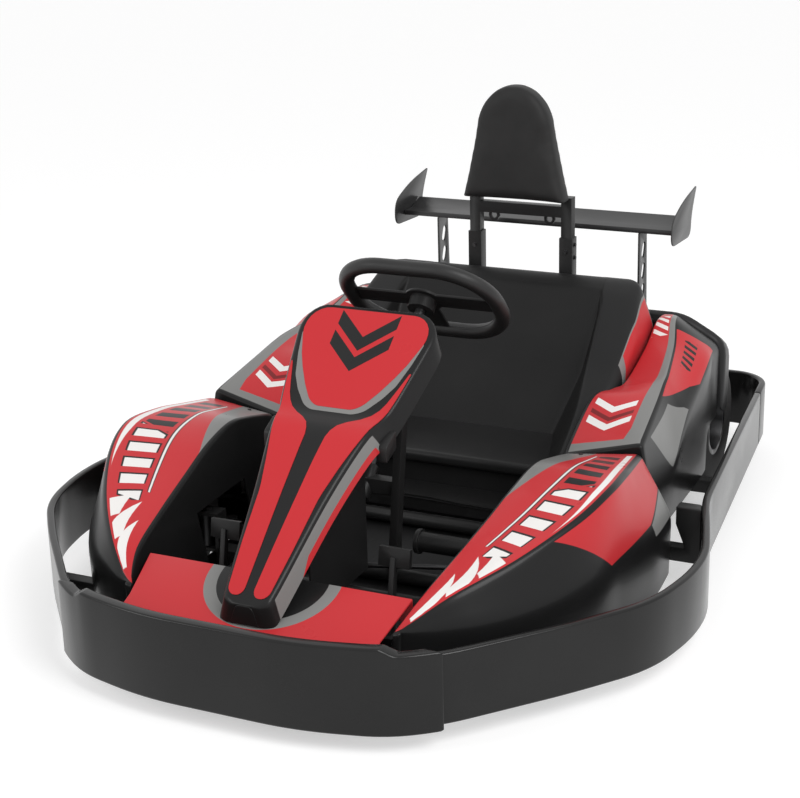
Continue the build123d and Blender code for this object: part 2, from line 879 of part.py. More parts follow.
def fairing_top(d):
    """Height of the fairing's upper face at station d, on its last panel."""
    (ahead0, z0, _), (ahead1, z1, _) = FAIRING[-2:]
    return z0 + (wheel_centre_d - ahead0 - d) / (ahead1 - ahead0) * (z1 - z0)


fairing_under = fairing_wall * 1.3 + seat_gap
with BuildPart() as support:
    leg = [
        (support_d - leg_d / 2, rail_top),
        (support_d + leg_d / 2, rail_top),
        (leg_top_d + leg_d / 2, fairing_top(leg_top_d + leg_d / 2) - fairing_under),
        (leg_top_d - leg_d / 2, fairing_top(leg_top_d - leg_d / 2) - fairing_under),
    ]
    for sx in (1, -1):
        extrude(side_profile(leg, sx * leg_x - leg_w / 2), amount=leg_w)
    with BuildSketch(Plane.YZ):
        with Locations((y_at(bearing_d), bearing_z)):
            Rectangle(leg_d, bar_h)
    extrude(amount=leg_x, both=True)
    with BuildSketch(column_plane.offset(-bearing_at - bearing_l / 2)):
        Circle(bearing_r)
    extrude(amount=bearing_l)
    with BuildSketch(column_plane.offset(-bearing_at - bearing_l)):
        Circle(column_r + running_gap)
    extrude(amount=2 * bearing_l, mode=Mode.SUBTRACT)
save(support, "column_support")

# Yokes, kingpins and knuckles
axle_z = front_tyre_r
boss_low = axle_z - knuckle_boss_h / 2
boss_high = axle_z + knuckle_boss_h / 2
yoke_t = 7
kingpin_head = 5
yoke_gap = 0.5
yoke_half = 18
yoke_in = kingpin_x - 26
yoke_out = kingpin_x + 18
yoke_low = boss_low - yoke_gap - yoke_t
yoke_high = boss_high + yoke_gap + yoke_t
YOKE_BOXES = [
    (rail_front_x + tube_r, yoke_in, rail_z - tube_r, yoke_low + yoke_t),
    (yoke_in - yoke_t, yoke_in, yoke_low, yoke_high),
    (yoke_in, yoke_out, yoke_low, yoke_low + yoke_t),
    (yoke_in, yoke_out, yoke_high - yoke_t, yoke_high),
]
with BuildPart() as yokes:
    for sx in (1, -1):
        for x0, x1, z0, z1 in YOKE_BOXES:
            with BuildSketch(Plane.XZ.offset(-y_at(front_axle_d))):
                with Locations((sx * (x0 + x1) / 2, (z0 + z1) / 2)):
                    Rectangle(x1 - x0, z1 - z0)
            extrude(amount=yoke_half, both=True)
        with BuildSketch(Plane.XY.offset(yoke_low)):
            with Locations((sx * kingpin_x, y_at(front_axle_d))):
                Circle(kingpin_r)
        extrude(amount=yoke_high - yoke_low)
        with BuildSketch(Plane.XY.offset(yoke_high)):
            with Locations((sx * kingpin_x, y_at(front_axle_d))):
                RegularPolygon(kingpin_r + 4, 6)
        extrude(amount=kingpin_head)
save(yokes, "front_yokes")

spindle_tip = 46
arm_t = 8
arm_low = axle_z - 8
arm_pin_r = 5
arm_eye_r = 12
rod_r = 5
rod_eye_r = 10
rod_eye_h = 12
eye_gap = 5
arm_tip_x = kingpin_x - steer_arm_in
arm_tip_d = front_axle_d + sqrt(steer_arm**2 - steer_arm_in**2)
for side, sx in SIDES:
    with BuildPart() as knuckle:
        with BuildSketch(Plane.XY.offset(boss_low)):
            with Locations((sx * kingpin_x, y_at(front_axle_d))):
                Circle(knuckle_boss_r)
        extrude(amount=knuckle_boss_h)
        with BuildSketch(Plane.YZ.offset(sx * kingpin_x)):
            with Locations((y_at(front_axle_d), axle_z)):
                Circle(spindle_r)
        extrude(amount=sx * (front_wheel_x - kingpin_x + spindle_tip))
        with BuildSketch(Plane.XY.offset(arm_low)):
            with BuildLine():
                arm = Line((sx * kingpin_x, y_at(front_axle_d)), (sx * arm_tip_x, y_at(arm_tip_d)))
            with Locations((sx * arm_tip_x, y_at(arm_tip_d))):
                Circle(arm_eye_r)
            trace(arm, line_width=2 * arm_eye_r)
        extrude(amount=arm_t)
        with BuildSketch(Plane.XY.offset(arm_low)):
            with Locations((sx * arm_tip_x, y_at(arm_tip_d))):
                Circle(arm_pin_r)
        extrude(amount=-rod_eye_h - 2)
        with BuildSketch(Plane.XY.offset(boss_low)):
            with Locations((sx * kingpin_x, y_at(front_axle_d))):
                Circle(kingpin_r + running_gap)
        extrude(amount=knuckle_boss_h, mode=Mode.SUBTRACT)
    save(knuckle, f"knuckle_{side}")

# Tie rods between the pitman plate and the knuckle arms
eye_low = column_length + eye_gap + rod_eye_h / 2
inner_eye_d = wheel_centre_d - eye_low * axis_y + pitman_arm * axis_z
inner_eye_z = wheel_centre_z - eye_low * axis_z - pitman_arm * axis_y
outer_eye_z = arm_low - 1 - rod_eye_h / 2
for side, sx in SIDES:
    start = Vector(sx * pitman_eye_x, y_at(inner_eye_d), inner_eye_z)
    finish = Vector(sx * arm_tip_x, y_at(arm_tip_d), outer_eye_z)
    with BuildPart() as tie_rod:
        with BuildSketch(Plane(start, z_dir=finish - start)):
            Circle(rod_r)
        extrude(amount=(finish - start).length)
        with BuildSketch(Plane(start, x_dir=(1, 0, 0), z_dir=(0, axis_y, axis_z)).offset(-rod_eye_h / 2)):
            Circle(rod_eye_r)
        extrude(amount=rod_eye_h)
        with BuildSketch(Plane.XY.offset(outer_eye_z - rod_eye_h / 2)):
            with Locations((finish.X, finish.Y)):
                Circle(rod_eye_r)
        extrude(amount=rod_eye_h)
        with BuildSketch(Plane.XY.offset(outer_eye_z - rod_eye_h)):
            with Locations((finish.X, finish.Y)):
                Circle(arm_pin_r + running_gap)
        extrude(amount=2 * rod_eye_h, mode=Mode.SUBTRACT)
    save(tie_rod, f"tie_rod_{side}")

# Tyres and rims
bead_in = 8
bead_h = 15
tyre_wall = 12
flange_t = 5
flange_h = 12


def tyre(x, d, radius, width):
    """Hollow tyre of a wheel at x and d, open towards its rim."""
    half = width / 2
    hub = Plane((x, y_at(d), radius))
    with BuildPart() as ring:
        with BuildSketch(hub):
            with BuildLine():
                Polyline(
                    (-half + bead_in, rim_r),
                    (-half + bead_in, rim_r + bead_h),
                    (-half, rim_r + 2 * bead_h),
                    (-half, radius - tyre_shoulder),
                )
                RadiusArc((-half, radius - tyre_shoulder), (-half + tyre_shoulder, radius), tyre_shoulder)
                Line((-half + tyre_shoulder, radius), (half - tyre_shoulder, radius))
                RadiusArc((half - tyre_shoulder, radius), (half, radius - tyre_shoulder), tyre_shoulder)
                Polyline(
                    (half, radius - tyre_shoulder),
                    (half, rim_r + 2 * bead_h),
                    (half - bead_in, rim_r + bead_h),
                    (half - bead_in, rim_r),
                    (-half + bead_in, rim_r),
                )
            make_face()
            with Locations((0, (rim_r + radius) / 2 - tyre_wall / 2)):
                Rectangle(2 * (half - bead_in - tyre_wall), radius - rim_r - tyre_wall, mode=Mode.SUBTRACT)
        revolve(axis=Axis(hub.origin, (1, 0, 0)))
    return ring


def rim(x, d, radius, width, bore):
    """Drop-centre rim with a flat web and a hub, bored for its shaft."""
    half = width / 2
    hub = Plane((x, y_at(d), radius))
    with BuildPart() as wheel:
        with BuildSketch(hub):
            with Locations((0, rim_r - rim_wall / 2)):
                Rectangle(width - 2 * bead_in, rim_wall)
            for sign in (1, -1):
                with Locations((sign * (half - bead_in + flange_t / 2), rim_r - rim_wall + (flange_h + rim_wall) / 2)):
                    Rectangle(flange_t, flange_h + rim_wall)
            with Locations((0, (bore + rim_r) / 2)):
                Rectangle(2 * rim_wall, rim_r - bore)
            with Locations((0, (bore + hub_r) / 2)):
                Rectangle(2 * hub_r, hub_r - bore)
        revolve(axis=Axis(hub.origin, (1, 0, 0)))
        with BuildSketch(hub.rotated((0, 90, 0))):
            with PolarLocations((hub_r + rim_r) / 2, 5):
                Circle(9)
        extrude(amount=3 * rim_wall, both=True, mode=Mode.SUBTRACT)
    return wheel


for side, sx in SIDES:
    save(tyre(sx * front_wheel_x, front_axle_d, front_tyre_r, front_tyre_w), f"front_tyre_{side}")
    front_rim = rim(sx * front_wheel_x, front_axle_d, front_tyre_r, front_tyre_w, spindle_r + running_gap)
    save(front_rim, f"front_rim_{side}")

with BuildPart() as rear_tyres:
    for sx in (1, -1):
        add(tyre(sx * rear_wheel_x, rear_axle_d, rear_tyre_r, rear_tyre_w).part)
save(rear_tyres, "rear_tyres")
with BuildPart() as rear_rims:
    for sx in (1, -1):
        add(rim(sx * rear_wheel_x, rear_axle_d, rear_tyre_r, rear_tyre_w, axle_r).part)
save(rear_rims, "rear_rims")

# Rear axle, brake and drive
axle_tip = 60
with BuildPart() as rear_axle:
    with BuildSketch(Plane.YZ):
        with Locations((y_at(rear_axle_d), rear_tyre_r)):
            Circle(axle_r)
    extrude(amount=rear_wheel_x + axle_tip, both=True)
save(rear_axle, "rear_axle")

disc_x = 150
disc_r = 80
disc_t = 5
disc_gap = 5
with BuildPart() as brake_disc:
    with BuildSketch(Plane.YZ.offset(disc_x - disc_t / 2)):
        with Locations((y_at(rear_axle_d), rear_tyre_r)):
            Circle(disc_r)
            Circle(axle_r, mode=Mode.SUBTRACT)
            with PolarLocations(disc_r - 16, 12):
                Circle(6, mode=Mode.SUBTRACT)
    extrude(amount=disc_t)
save(brake_disc, "brake_disc")

caliper_half = 25
caliper_front = rear_axle_d + 52
caliper_rear = rear_axle_d + disc_r + disc_gap + 16
caliper_top = 165
with BuildPart() as caliper:
    block = [
        (caliper_front, rail_top),
        (caliper_rear, rail_top),
        (caliper_rear, caliper_top),
        (caliper_front, caliper_top),
    ]
    extrude(side_profile(block, disc_x), amount=caliper_half, both=True)
    with BuildSketch(Plane.YZ.offset(disc_x)):
        with Locations((y_at(rear_axle_d), rear_tyre_r)):
            Circle(disc_r + disc_gap)
    extrude(amount=disc_t / 2 + disc_gap, both=True, mode=Mode.SUBTRACT)
save(caliper, "brake_caliper")

motor_left = 82
motor_right = -158
motor_h = 150
case_t = 24
case_low = 92
case_high = 220
with BuildPart() as motor:
    with BuildSketch(Plane.XY.offset(rail_top)):
        with Locations(((motor_left + motor_right) / 2, y_at((drive_front_d + drive_rear_d) / 2))):
            RectangleRounded(motor_left - motor_right, drive_rear_d - drive_front_d, 12)
    extrude(amount=motor_h)
save(motor, "drive_motor")

with BuildPart() as chain_case:
    with BuildSketch(Plane.YZ.offset(motor_right - case_t)):
        with BuildLine():
            Polyline(
                (y_at(rear_axle_d - 60), case_low),
                (y_at(drive_rear_d - 6), case_low),
                (y_at(drive_rear_d - 6), case_high),
                (y_at(rear_axle_d - 60), case_high),
                close=True,
            )
        make_face()
        with Locations((y_at(rear_axle_d), rear_tyre_r)):
            Circle(axle_r + 6, mode=Mode.SUBTRACT)
    extrude(amount=case_t)
save(chain_case, "chain_case")

# Battery boxes inside the rear pods
battery_room = 33
battery_in = seat_half + 21
battery_out = rear_pod_half - battery_room
battery_top = 255
with BuildPart() as batteries:
    for sx in (1, -1):
        with BuildSketch(Plane.XY.offset(stay_top)):
            start = rear_pod_start + 2 * wall
            end = rear_axle_d - 190
            with Locations((sx * (battery_in + battery_out) / 2, y_at((start + end) / 2))):
                Rectangle(battery_out - battery_in, end - start)
        extrude(amount=battery_top - stay_top)
save(batteries, "battery_boxes")

# Pedals
pedal_x = 175
pedal_d = 345
pedal_z = 211
pedal_pad_w = 62
pedal_pad_h = 34
pedal_t = 10
pedal_foot_d = 318
tray_top = tray_z + tray_t
with BuildPart() as pedals:
    for sx in (1, -1):
        lever = [
            (pedal_foot_d - 12, tray_top),
            (pedal_foot_d + 14, tray_top),
            (pedal_d + 6, pedal_z),
            (pedal_d - 6, pedal_z + 4),
        ]
        extrude(side_profile(lever, sx * pedal_x), amount=pedal_t / 2, both=True)
        pad = [
            (pedal_d - 2, pedal_z - pedal_pad_h / 2),
            (pedal_d + 8, pedal_z - pedal_pad_h / 2 - 2),
            (pedal_d + 14, pedal_z + pedal_pad_h / 2),
            (pedal_d + 4, pedal_z + pedal_pad_h / 2 + 2),
        ]
        extrude(side_profile(pad, sx * pedal_x), amount=pedal_pad_w / 2, both=True)
        with BuildSketch(Plane.XY.offset(tray_top)):
            with Locations((sx * pedal_x, y_at(pedal_foot_d))):
                Rectangle(44, 36)
        extrude(amount=18)
save(pedals, "foot_pedals")
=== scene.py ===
"""Looks of the racing kart: body panels, seat, wheels, trim and studio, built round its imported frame."""

import json
from math import cos, pi, radians, sin

import bmesh
import bpy
from bpy.props import FloatProperty, FloatVectorProperty, IntProperty, PointerProperty
from bpy.types import Operator, Panel, PropertyGroup
from mathutils import Matrix, Vector


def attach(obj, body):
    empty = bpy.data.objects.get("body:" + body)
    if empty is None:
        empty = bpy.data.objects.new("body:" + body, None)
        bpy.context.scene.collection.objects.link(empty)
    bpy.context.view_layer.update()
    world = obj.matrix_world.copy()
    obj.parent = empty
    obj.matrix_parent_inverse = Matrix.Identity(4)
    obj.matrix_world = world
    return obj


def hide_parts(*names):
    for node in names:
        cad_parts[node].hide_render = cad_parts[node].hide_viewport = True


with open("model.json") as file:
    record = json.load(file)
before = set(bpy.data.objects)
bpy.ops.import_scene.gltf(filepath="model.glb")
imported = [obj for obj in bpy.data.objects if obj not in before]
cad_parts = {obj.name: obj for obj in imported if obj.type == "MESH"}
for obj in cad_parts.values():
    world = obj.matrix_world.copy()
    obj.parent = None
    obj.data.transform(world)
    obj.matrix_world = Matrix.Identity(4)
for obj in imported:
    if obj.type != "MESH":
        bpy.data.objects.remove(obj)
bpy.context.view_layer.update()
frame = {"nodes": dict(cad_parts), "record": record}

bl_info = {
    "name": "Racing kart",
    "version": (1, 0, 0),
    "blender": (4, 5, 0),
    "location": "3D View > Sidebar > Kart",
    "description": "Dresses the kart's packed frame with body panels, seat, wheels and trim",
    "category": "Object",
}

# Lengths in the tables below are millimetres. Stations called d count rearwards from the nose.
MM = 0.001
NOSE_Y = min(corner.y for corner in (frame["nodes"]["front_bumper"].matrix_world @ Vector(c)
                                    for c in frame["nodes"]["front_bumper"].bound_box))
SIDES = (("left", 1), ("right", -1))
finish = {}


def at(x, d, z):
    """Point in metres from millimetres: x to the kart's left, d behind the nose, z above the ground."""
    return Vector((x * MM, NOSE_Y + d * MM, z * MM))


# Front pod sections: d, inner edge x and z, ridge x and z, belt x, z of the outer wall's foot
FRONT_POD = [
    (150, 262, 167, 264, 168, 276, 85.3),
    (215, 281, 208, 340, 222, 384, 85.3),
    (320, 296, 238, 424, 260, 470, 85.3),
    (440, 310, 268, 490, 299, 526, 49.3),
    (540, 320, 294, 517, 323, 542, 45.3),
    (640, 326, 308, 512, 318, 554, 45.3),
    (720, 329, 294, 500, 305, 558, 45.3),
    (823, 330, 266, 484, 287, 551, 45.3),
]
FRONT_POD_ROUND = [0.5, 9, 13, 24]
FRONT_POD_INSIDE = (420, 600, 180)
FRONT_WALL_IN = 3
POD_BOTTOM = 85.3
POD_LEAN = 0.2
BELT_Z = 170
# Notch in the inner wall for the steered wheel: its top, how far it stays below the edge, and its reach in d
NOTCH_TOP = 190
NOTCH_MARGIN = 20
NOTCH_D = (440, 640)

# Rear pod sections: d, inner edge x and z, ridge x and z, hip x and z
REAR_POD = [
    (837, 318, 256, 482, 300, 502, 190),
    (992, 320, 325, 467, 334, 501, 190),
    (1068, 338, 324, 458, 352, 500, 250),
    (1125, 352, 325, 450, 360, 499, 288),
    (1263, 352, 360, 420, 373, 496, 342),
    (1345, 352, 398, 395, 404, 487, 345),
    (1401, 352, 400, 383, 402, 485, 340),
]
REAR_POD_ROUND = [8, 12, 20]
REAR_POD_INSIDE = (420, 1100, 200)
REAR_WALL_IN = 4

# Rear fender sections: d, ridge x and z, belt x and z, bottom z
REAR_FENDER = [
    (1405.3, 395, 400, 494, 345, 180),
    (1450, 402, 376, 491, 335, 180),
    (1495, 402, 345, 484, 320, 190),
]
FENDER_IN = 305.3
FENDER_ROUND = [30, 34]
FENDER_CAP = 16
FENDER_INSIDE = (380, 1440, 250)
# Draw-in of the rear deck's top corners, growing between two heights
DECK_TAPER = 0.2
DECK_TAPER_Z = (380, 440)
REAR_AXLE_D = 1440
REAR_WHEEL_X = 393
REAR_TYRE_R = 140
# Rear wheel's arch: radius, and reach on both sides of the wheel's middle in the pods and the fenders
ARCH_R = REAR_TYRE_R + 14
POD_ARCH_X = 86
FENDER_ARCH_X = 87
# Cut below the outer wall beside the rear tyre: d, z and rounding of its corners
SKIRT_CUT = [(1288, 40, 1), (1288, 176, 34), (1420, 176, 1), (1420, 40, 1)]
POD_WALL_X = (477, 520)

# Fairing sections: d, top z, half width at the top
FAIRING = [
    (105, 192, 32),
    (125, 208, 46),
    (288, 334, 72),
    (400, 412, 96),
    (457, 430, 108),
    (500, 458, 120),
    (655, 576, 150),
]
FAIRING_DEPTH = 46
FAIRING_FLARE = 12
FAIRING_LOW = 156
FAIRING_ROUND = [9, 9]
FAIRING_CAP = 1.2
FAIRING_INSIDE = (0, 400, 350)
UNDER_FAIRING = at(0, 500, 0)

# Steering wheel, seen along its column
WHEEL_CENTRE = at(0, 885, 535)
WHEEL_TILT = radians(45)


class KartColours(PropertyGroup):
    """Colours of the kart's finishes."""

    red: FloatVectorProperty(name="Red", description="Gloss body red", subtype="COLOR", default=(0.53, 0.026, 0.032))
    black: FloatVectorProperty(name="Black", description="Moulded black plastic", subtype="COLOR",
                               default=(0.008, 0.008, 0.0083))
    bumper: FloatVectorProperty(name="Bumper", description="Bumper ring plastic", subtype="COLOR",
                                default=(0.0042, 0.0042, 0.0043))
    seat: FloatVectorProperty(name="Seat", description="Seat shell plastic", subtype="COLOR",
                              default=(0.0045, 0.0045, 0.0047))
    grey: FloatVectorProperty(name="Grey", description="Grey edging", subtype="COLOR", default=(0.21, 0.21, 0.205))
    white: FloatVectorProperty(name="White", description="White accents", subtype="COLOR", default=(0.82, 0.8, 0.78))
    steel: FloatVectorProperty(name="Steel", description="Bare steel", subtype="COLOR", default=(0.06, 0.06, 0.062))
    rubber: FloatVectorProperty(name="Rubber", description="Tyre rubber", subtype="COLOR",
                                default=(0.01, 0.01, 0.0105))
    cover: FloatVectorProperty(name="Cover", description="Fender plastic", subtype="COLOR",
                               default=(0.012, 0.012, 0.0125))
    grip: FloatVectorProperty(name="Grip", description="Steering wheel's rubber", subtype="COLOR",
                              default=(0.007, 0.007, 0.0072))
    thread: FloatVectorProperty(name="Thread", description="Grip stitches", subtype="COLOR",
                                default=(0.05, 0.05, 0.052))
    wing: FloatVectorProperty(name="Wing", description="Wing paint", subtype="COLOR", default=(0.02, 0.02, 0.0205))
    drive: FloatVectorProperty(name="Drive", description="Motor and caliper paint", subtype="COLOR",
                               default=(0.05, 0.05, 0.052))
    rim: FloatVectorProperty(name="Rim", description="Rim alloy", subtype="COLOR", default=(0.06, 0.06, 0.062))
    tray: FloatVectorProperty(name="Tray", description="Floor pan alloy", subtype="COLOR", default=(0.03, 0.03, 0.031))


class KartSizes(PropertyGroup):
    """Sizes of the panels and trim that can be set by themselves."""

    panel_wall: FloatProperty(name="Panel wall", description="Thickness of a moulded panel", unit="LENGTH",
                              default=0.004)
    panel_cap: FloatProperty(name="Panel end", description="Rounding of a panel's ends", unit="LENGTH", default=0.007)
    bumper_edge: FloatProperty(name="Bumper edge", description="Rounding of the bumper ring", unit="LENGTH",
                               default=0.005)
    inlay: FloatProperty(name="Inlay", description="Thickness of the fairing's inlays", unit="LENGTH", default=0.0012)
    stitch_pitch: FloatProperty(name="Stitch pitch", description="Distance between grip stitches", unit="LENGTH",
                                default=0.008)
    lathe_steps: IntProperty(name="Lathe steps", description="Facets round a turned piece", default=120)


class KartStudio(PropertyGroup):
    """Light and floor of the studio."""

    world_level: FloatProperty(name="World level", description="Strength of the all-round light", default=0.72)
    key_power: FloatProperty(name="Key light", description="Power of the large overhead light", subtype="POWER",
                             default=80.0)
    fill_power: FloatProperty(name="Fill light", description="Power of the front light", subtype="POWER", default=25.0)
    floor: FloatVectorProperty(name="Floor", description="Floor colour", subtype="COLOR", default=(0.6, 0.6, 0.6))
    floor_glow: FloatProperty(name="Floor glow", description="How far the floor is lifted towards white", default=0.5)


class Graph:
    """Adds and wires nodes in one tree."""

    def __init__(self, tree):
        self.tree = tree

    def add(self, kind, inputs=(), **settings):
        node = self.tree.nodes.new(kind)
        for name, value in settings.items():
            setattr(node, name, value)
        for key, value in dict(inputs).items():
            self.put(node.inputs[key], value)
        return node

    def put(self, socket, value):
        if isinstance(value, bpy.types.NodeSocket):
            self.tree.links.new(value, socket)
        else:
            socket.default_value = value

    def math(self, operation, *values, clamp=False):
        node = self.add("ShaderNodeMath", enumerate(values), operation=operation, use_clamp=clamp)
        return node.outputs[0]

    def group(self, name, inputs=()):
        node = self.add("ShaderNodeGroup", node_tree=bpy.data.node_groups[name])
        for key, value in dict(inputs).items():
            self.put(node.inputs[key], value)
        return node

    def mix(self, factor, first, second):
        node = self.add("ShaderNodeMix", {0: factor, 6: first, 7: second}, data_type="RGBA")
        return node.outputs[2]


def new_group(name, inputs, outputs):
    """Empty shader group with named sockets, its graph and its end nodes."""
    tree = bpy.data.node_groups.new(name, "ShaderNodeTree")
    for label, kind, default in inputs:
        socket = tree.interface.new_socket(label, in_out="INPUT", socket_type=kind)
        socket.default_value = default
    for label, kind in outputs:
        tree.interface.new_socket(label, in_out="OUTPUT", socket_type=kind)
    graph = Graph(tree)
    return graph, graph.add("NodeGroupInput").outputs, graph.add("NodeGroupOutput").inputs


def grain_group():
    """Fine moulded grain: a height for bump and an uneven roughness."""
    graph, given, out = new_group(
        "moulded_grain",
        [("Scale", "NodeSocketFloat", 900.0), ("Roughness", "NodeSocketFloat", 0.5),
         ("Spread", "NodeSocketFloat", 0.1)],
        [("Height", "NodeSocketFloat"), ("Roughness", "NodeSocketFloat")],
    )
    place = graph.add("ShaderNodeTexCoord").outputs["Object"]
    fine = graph.add("ShaderNodeTexNoise", {"Vector": place, "Scale": given["Scale"], "Detail": 3.0})
    broad = graph.add("ShaderNodeTexNoise", {"Vector": place, "Scale": 9.0, "Detail": 4.0})
    swing = graph.math("MULTIPLY", graph.math("SUBTRACT", broad.outputs[0], 0.5), given["Spread"])
    graph.put(out["Height"], fine.outputs[0])
    graph.put(out["Roughness"], graph.math("ADD", given["Roughness"], swing, clamp=True))


DUST = (0.5, 0.49, 0.48, 1)


def drift_group():
    """Slow drift of a colour towards a lighter, dustier one."""
    graph, given, out = new_group(
        "colour_drift",
        [("Color", "NodeSocketColor", (0.5, 0.5, 0.5, 1)), ("Amount", "NodeSocketFloat", 0.15)],
        [("Color", "NodeSocketColor")],
    )
    place = graph.add("ShaderNodeTexCoord").outputs["Object"]
    cloud = graph.add("ShaderNodeTexNoise", {"Vector": place, "Scale": 5.0, "Detail": 5.0, "Roughness": 0.6})
    lighter = graph.mix(0.25, given["Color"], DUST)
    share = graph.math("MULTIPLY", cloud.outputs[0], given["Amount"])
    graph.put(out["Color"], graph.mix(share, given["Color"], lighter))


def half_plane_group():
    """Mask of the livery map on one side of a straight line: 1 where Along . UV is under Limit."""
    graph, given, out = new_group(
        "livery_half",
        [("UV", "NodeSocketVector", (0, 0, 0)), ("Along", "NodeSocketVector", (1, 0, 0)),
         ("Limit", "NodeSocketFloat", 0.0), ("Blur", "NodeSocketFloat", 0.002)],
        [("Mask", "NodeSocketFloat")],
    )
    reach = graph.add("ShaderNodeVectorMath", {0: given["UV"], 1: given["Along"]}, operation="DOT_PRODUCT")
    gap = graph.math("SUBTRACT", given["Limit"], reach.outputs["Value"])
    graph.put(out["Mask"], graph.math("ADD", graph.math("DIVIDE", gap, given["Blur"]), 0.5, clamp=True))


def brushed_group():
    """Fine scratches drawn along one axis: a height and a roughness for worked metal."""
    graph, given, out = new_group(
        "brushed",
        [("Stretch", "NodeSocketVector", (30, 900, 900)), ("Roughness", "NodeSocketFloat", 0.35)],
        [("Height", "NodeSocketFloat"), ("Roughness", "NodeSocketFloat")],
    )
    place = graph.add("ShaderNodeTexCoord").outputs["Object"]
    drawn = graph.add("ShaderNodeVectorMath", {0: place, 1: given["Stretch"]}, operation="MULTIPLY")
    lines = graph.add("ShaderNodeTexNoise", {"Vector": drawn.outputs[0], "Scale": 1.0, "Detail": 4.0})
    swing = graph.math("MULTIPLY", graph.math("SUBTRACT", lines.outputs[0], 0.5), 0.3)
    graph.put(out["Height"], lines.outputs[0])
    graph.put(out["Roughness"], graph.math("ADD", given["Roughness"], swing, clamp=True))


def new_material(name):
    """Material with its graph and its Principled shader."""
    material = bpy.data.materials.new(name)
    material.use_nodes = True
    finish[name] = material
    graph = Graph(material.node_tree)
    return graph, material.node_tree.nodes["Principled BSDF"].inputs


def opaque(colour):
    return (*colour, 1.0)


GRAIN_DEPTH = 0.0004


def surface(graph, shader, texture, bump):
    """Wire a grain or brushed group's height and roughness into a shader."""
    relief = graph.add("ShaderNodeBump", {"Height": texture.outputs["Height"], "Strength": bump,
                                          "Distance": GRAIN_DEPTH})
    graph.put(shader["Roughness"], texture.outputs["Roughness"])
    graph.put(shader["Normal"], relief.outputs[0])


def plastic(name, colour, roughness, grain=900.0, bump=0.25, drift=0.2, shine=0.2, spread=0.12):
    """Moulded plastic, rubber or paint with a fine grain and a slow drift of colour."""
    graph, shader = new_material(name)
    tone = graph.group("colour_drift", {"Color": opaque(colour), "Amount": drift})
    graph.put(shader["Base Color"], tone.outputs[0])
    texture = graph.group("moulded_grain", {"Scale": grain, "Roughness": roughness, "Spread": spread})
    surface(graph, shader, texture, bump)
    shader["Specular IOR Level"].default_value = shine


def metal(name, colour, roughness, stretch):
    """Worked metal with scratches drawn along one axis."""
    graph, shader = new_material(name)
    tone = graph.group("colour_drift", {"Color": opaque(colour), "Amount": 0.1})
    graph.put(shader["Base Color"], tone.outputs[0])
    shader["Metallic"].default_value = 1.0
    surface(graph, shader, graph.group("brushed", {"Stretch": stretch, "Roughness": roughness}), 0.15)


# Softness of a livery edge in metres, and the rough length in metres of one step of v
LIVERY_BLUR = 0.0014
LIVERY_V = 0.16


def livery_map(graph):
    """The piece's own livery map: u along the kart in metres, v counted in corners round its section."""
    return graph.add("ShaderNodeUVMap", uv_map="livery").outputs[0]


def convex(graph, uv, corners):
    """Mask of a convex polygon of (u, v) corners, listed anticlockwise with u to the right."""
    mask = None
    for (u0, v0), (u1, v1) in zip(corners, corners[1:] + corners[:1]):
        normal = Vector((v1 - v0, u0 - u1))
        size = Vector((normal.x, normal.y / LIVERY_V)).length
        along = (normal.x / size, normal.y / size, 0)
        limit = along[0] * u0 + along[1] * v0
        half = {"UV": uv, "Along": along, "Limit": limit, "Blur": LIVERY_BLUR}
        edge = graph.group("livery_half", half).outputs[0]
        mask = edge if mask is None else graph.math("MULTIPLY", mask, edge)
    return mask


def strip(graph, uv, u0, u1, v0, v1):
    """Mask of an upright rectangle of the livery map."""
    return convex(graph, uv, [(u0, v0), (u1, v0), (u1, v1), (u0, v1)])


def both_sides(graph, uv, width, panels):
    """Layers for panels of (corners, paint), each also mirrored across a livery map that is width steps wide."""
    layers = []
    for corners, paint in panels:
        layers.append((convex(graph, uv, corners), paint))
        layers.append((convex(graph, uv, [(u, width - v) for u, v in reversed(corners)]), paint))
    return layers


def gloss_livery(graph, shader, colour):
    """Gloss finish over a painted livery colour."""
    tone = graph.group("colour_drift", {"Color": colour, "Amount": 0.06})
    graph.put(shader["Base Color"], tone.outputs[0])
    texture = graph.group("moulded_grain", {"Scale": 260.0, "Roughness": 0.3, "Spread": 0.12})
    surface(graph, shader, texture, 0.05)
    shader["Specular IOR Level"].default_value = 0.16
    shader["Coat Weight"].default_value = 0.06
    shader["Coat Roughness"].default_value = 0.08


def layered(graph, base, layers):
    """Colour with masked layers painted over it in turn."""
    colour = base
    for mask, paint in layers:
        colour = graph.mix(mask, colour, paint)
    return colour


# Front pods' bars: slant for each step of v, number in a metre, share of the pitch, and half width with their edge
BAR_SLANT = 0.06
BARS_PER_METRE = 21.0
BAR_SHARE = 0.55
BAR_EDGE = 0.37


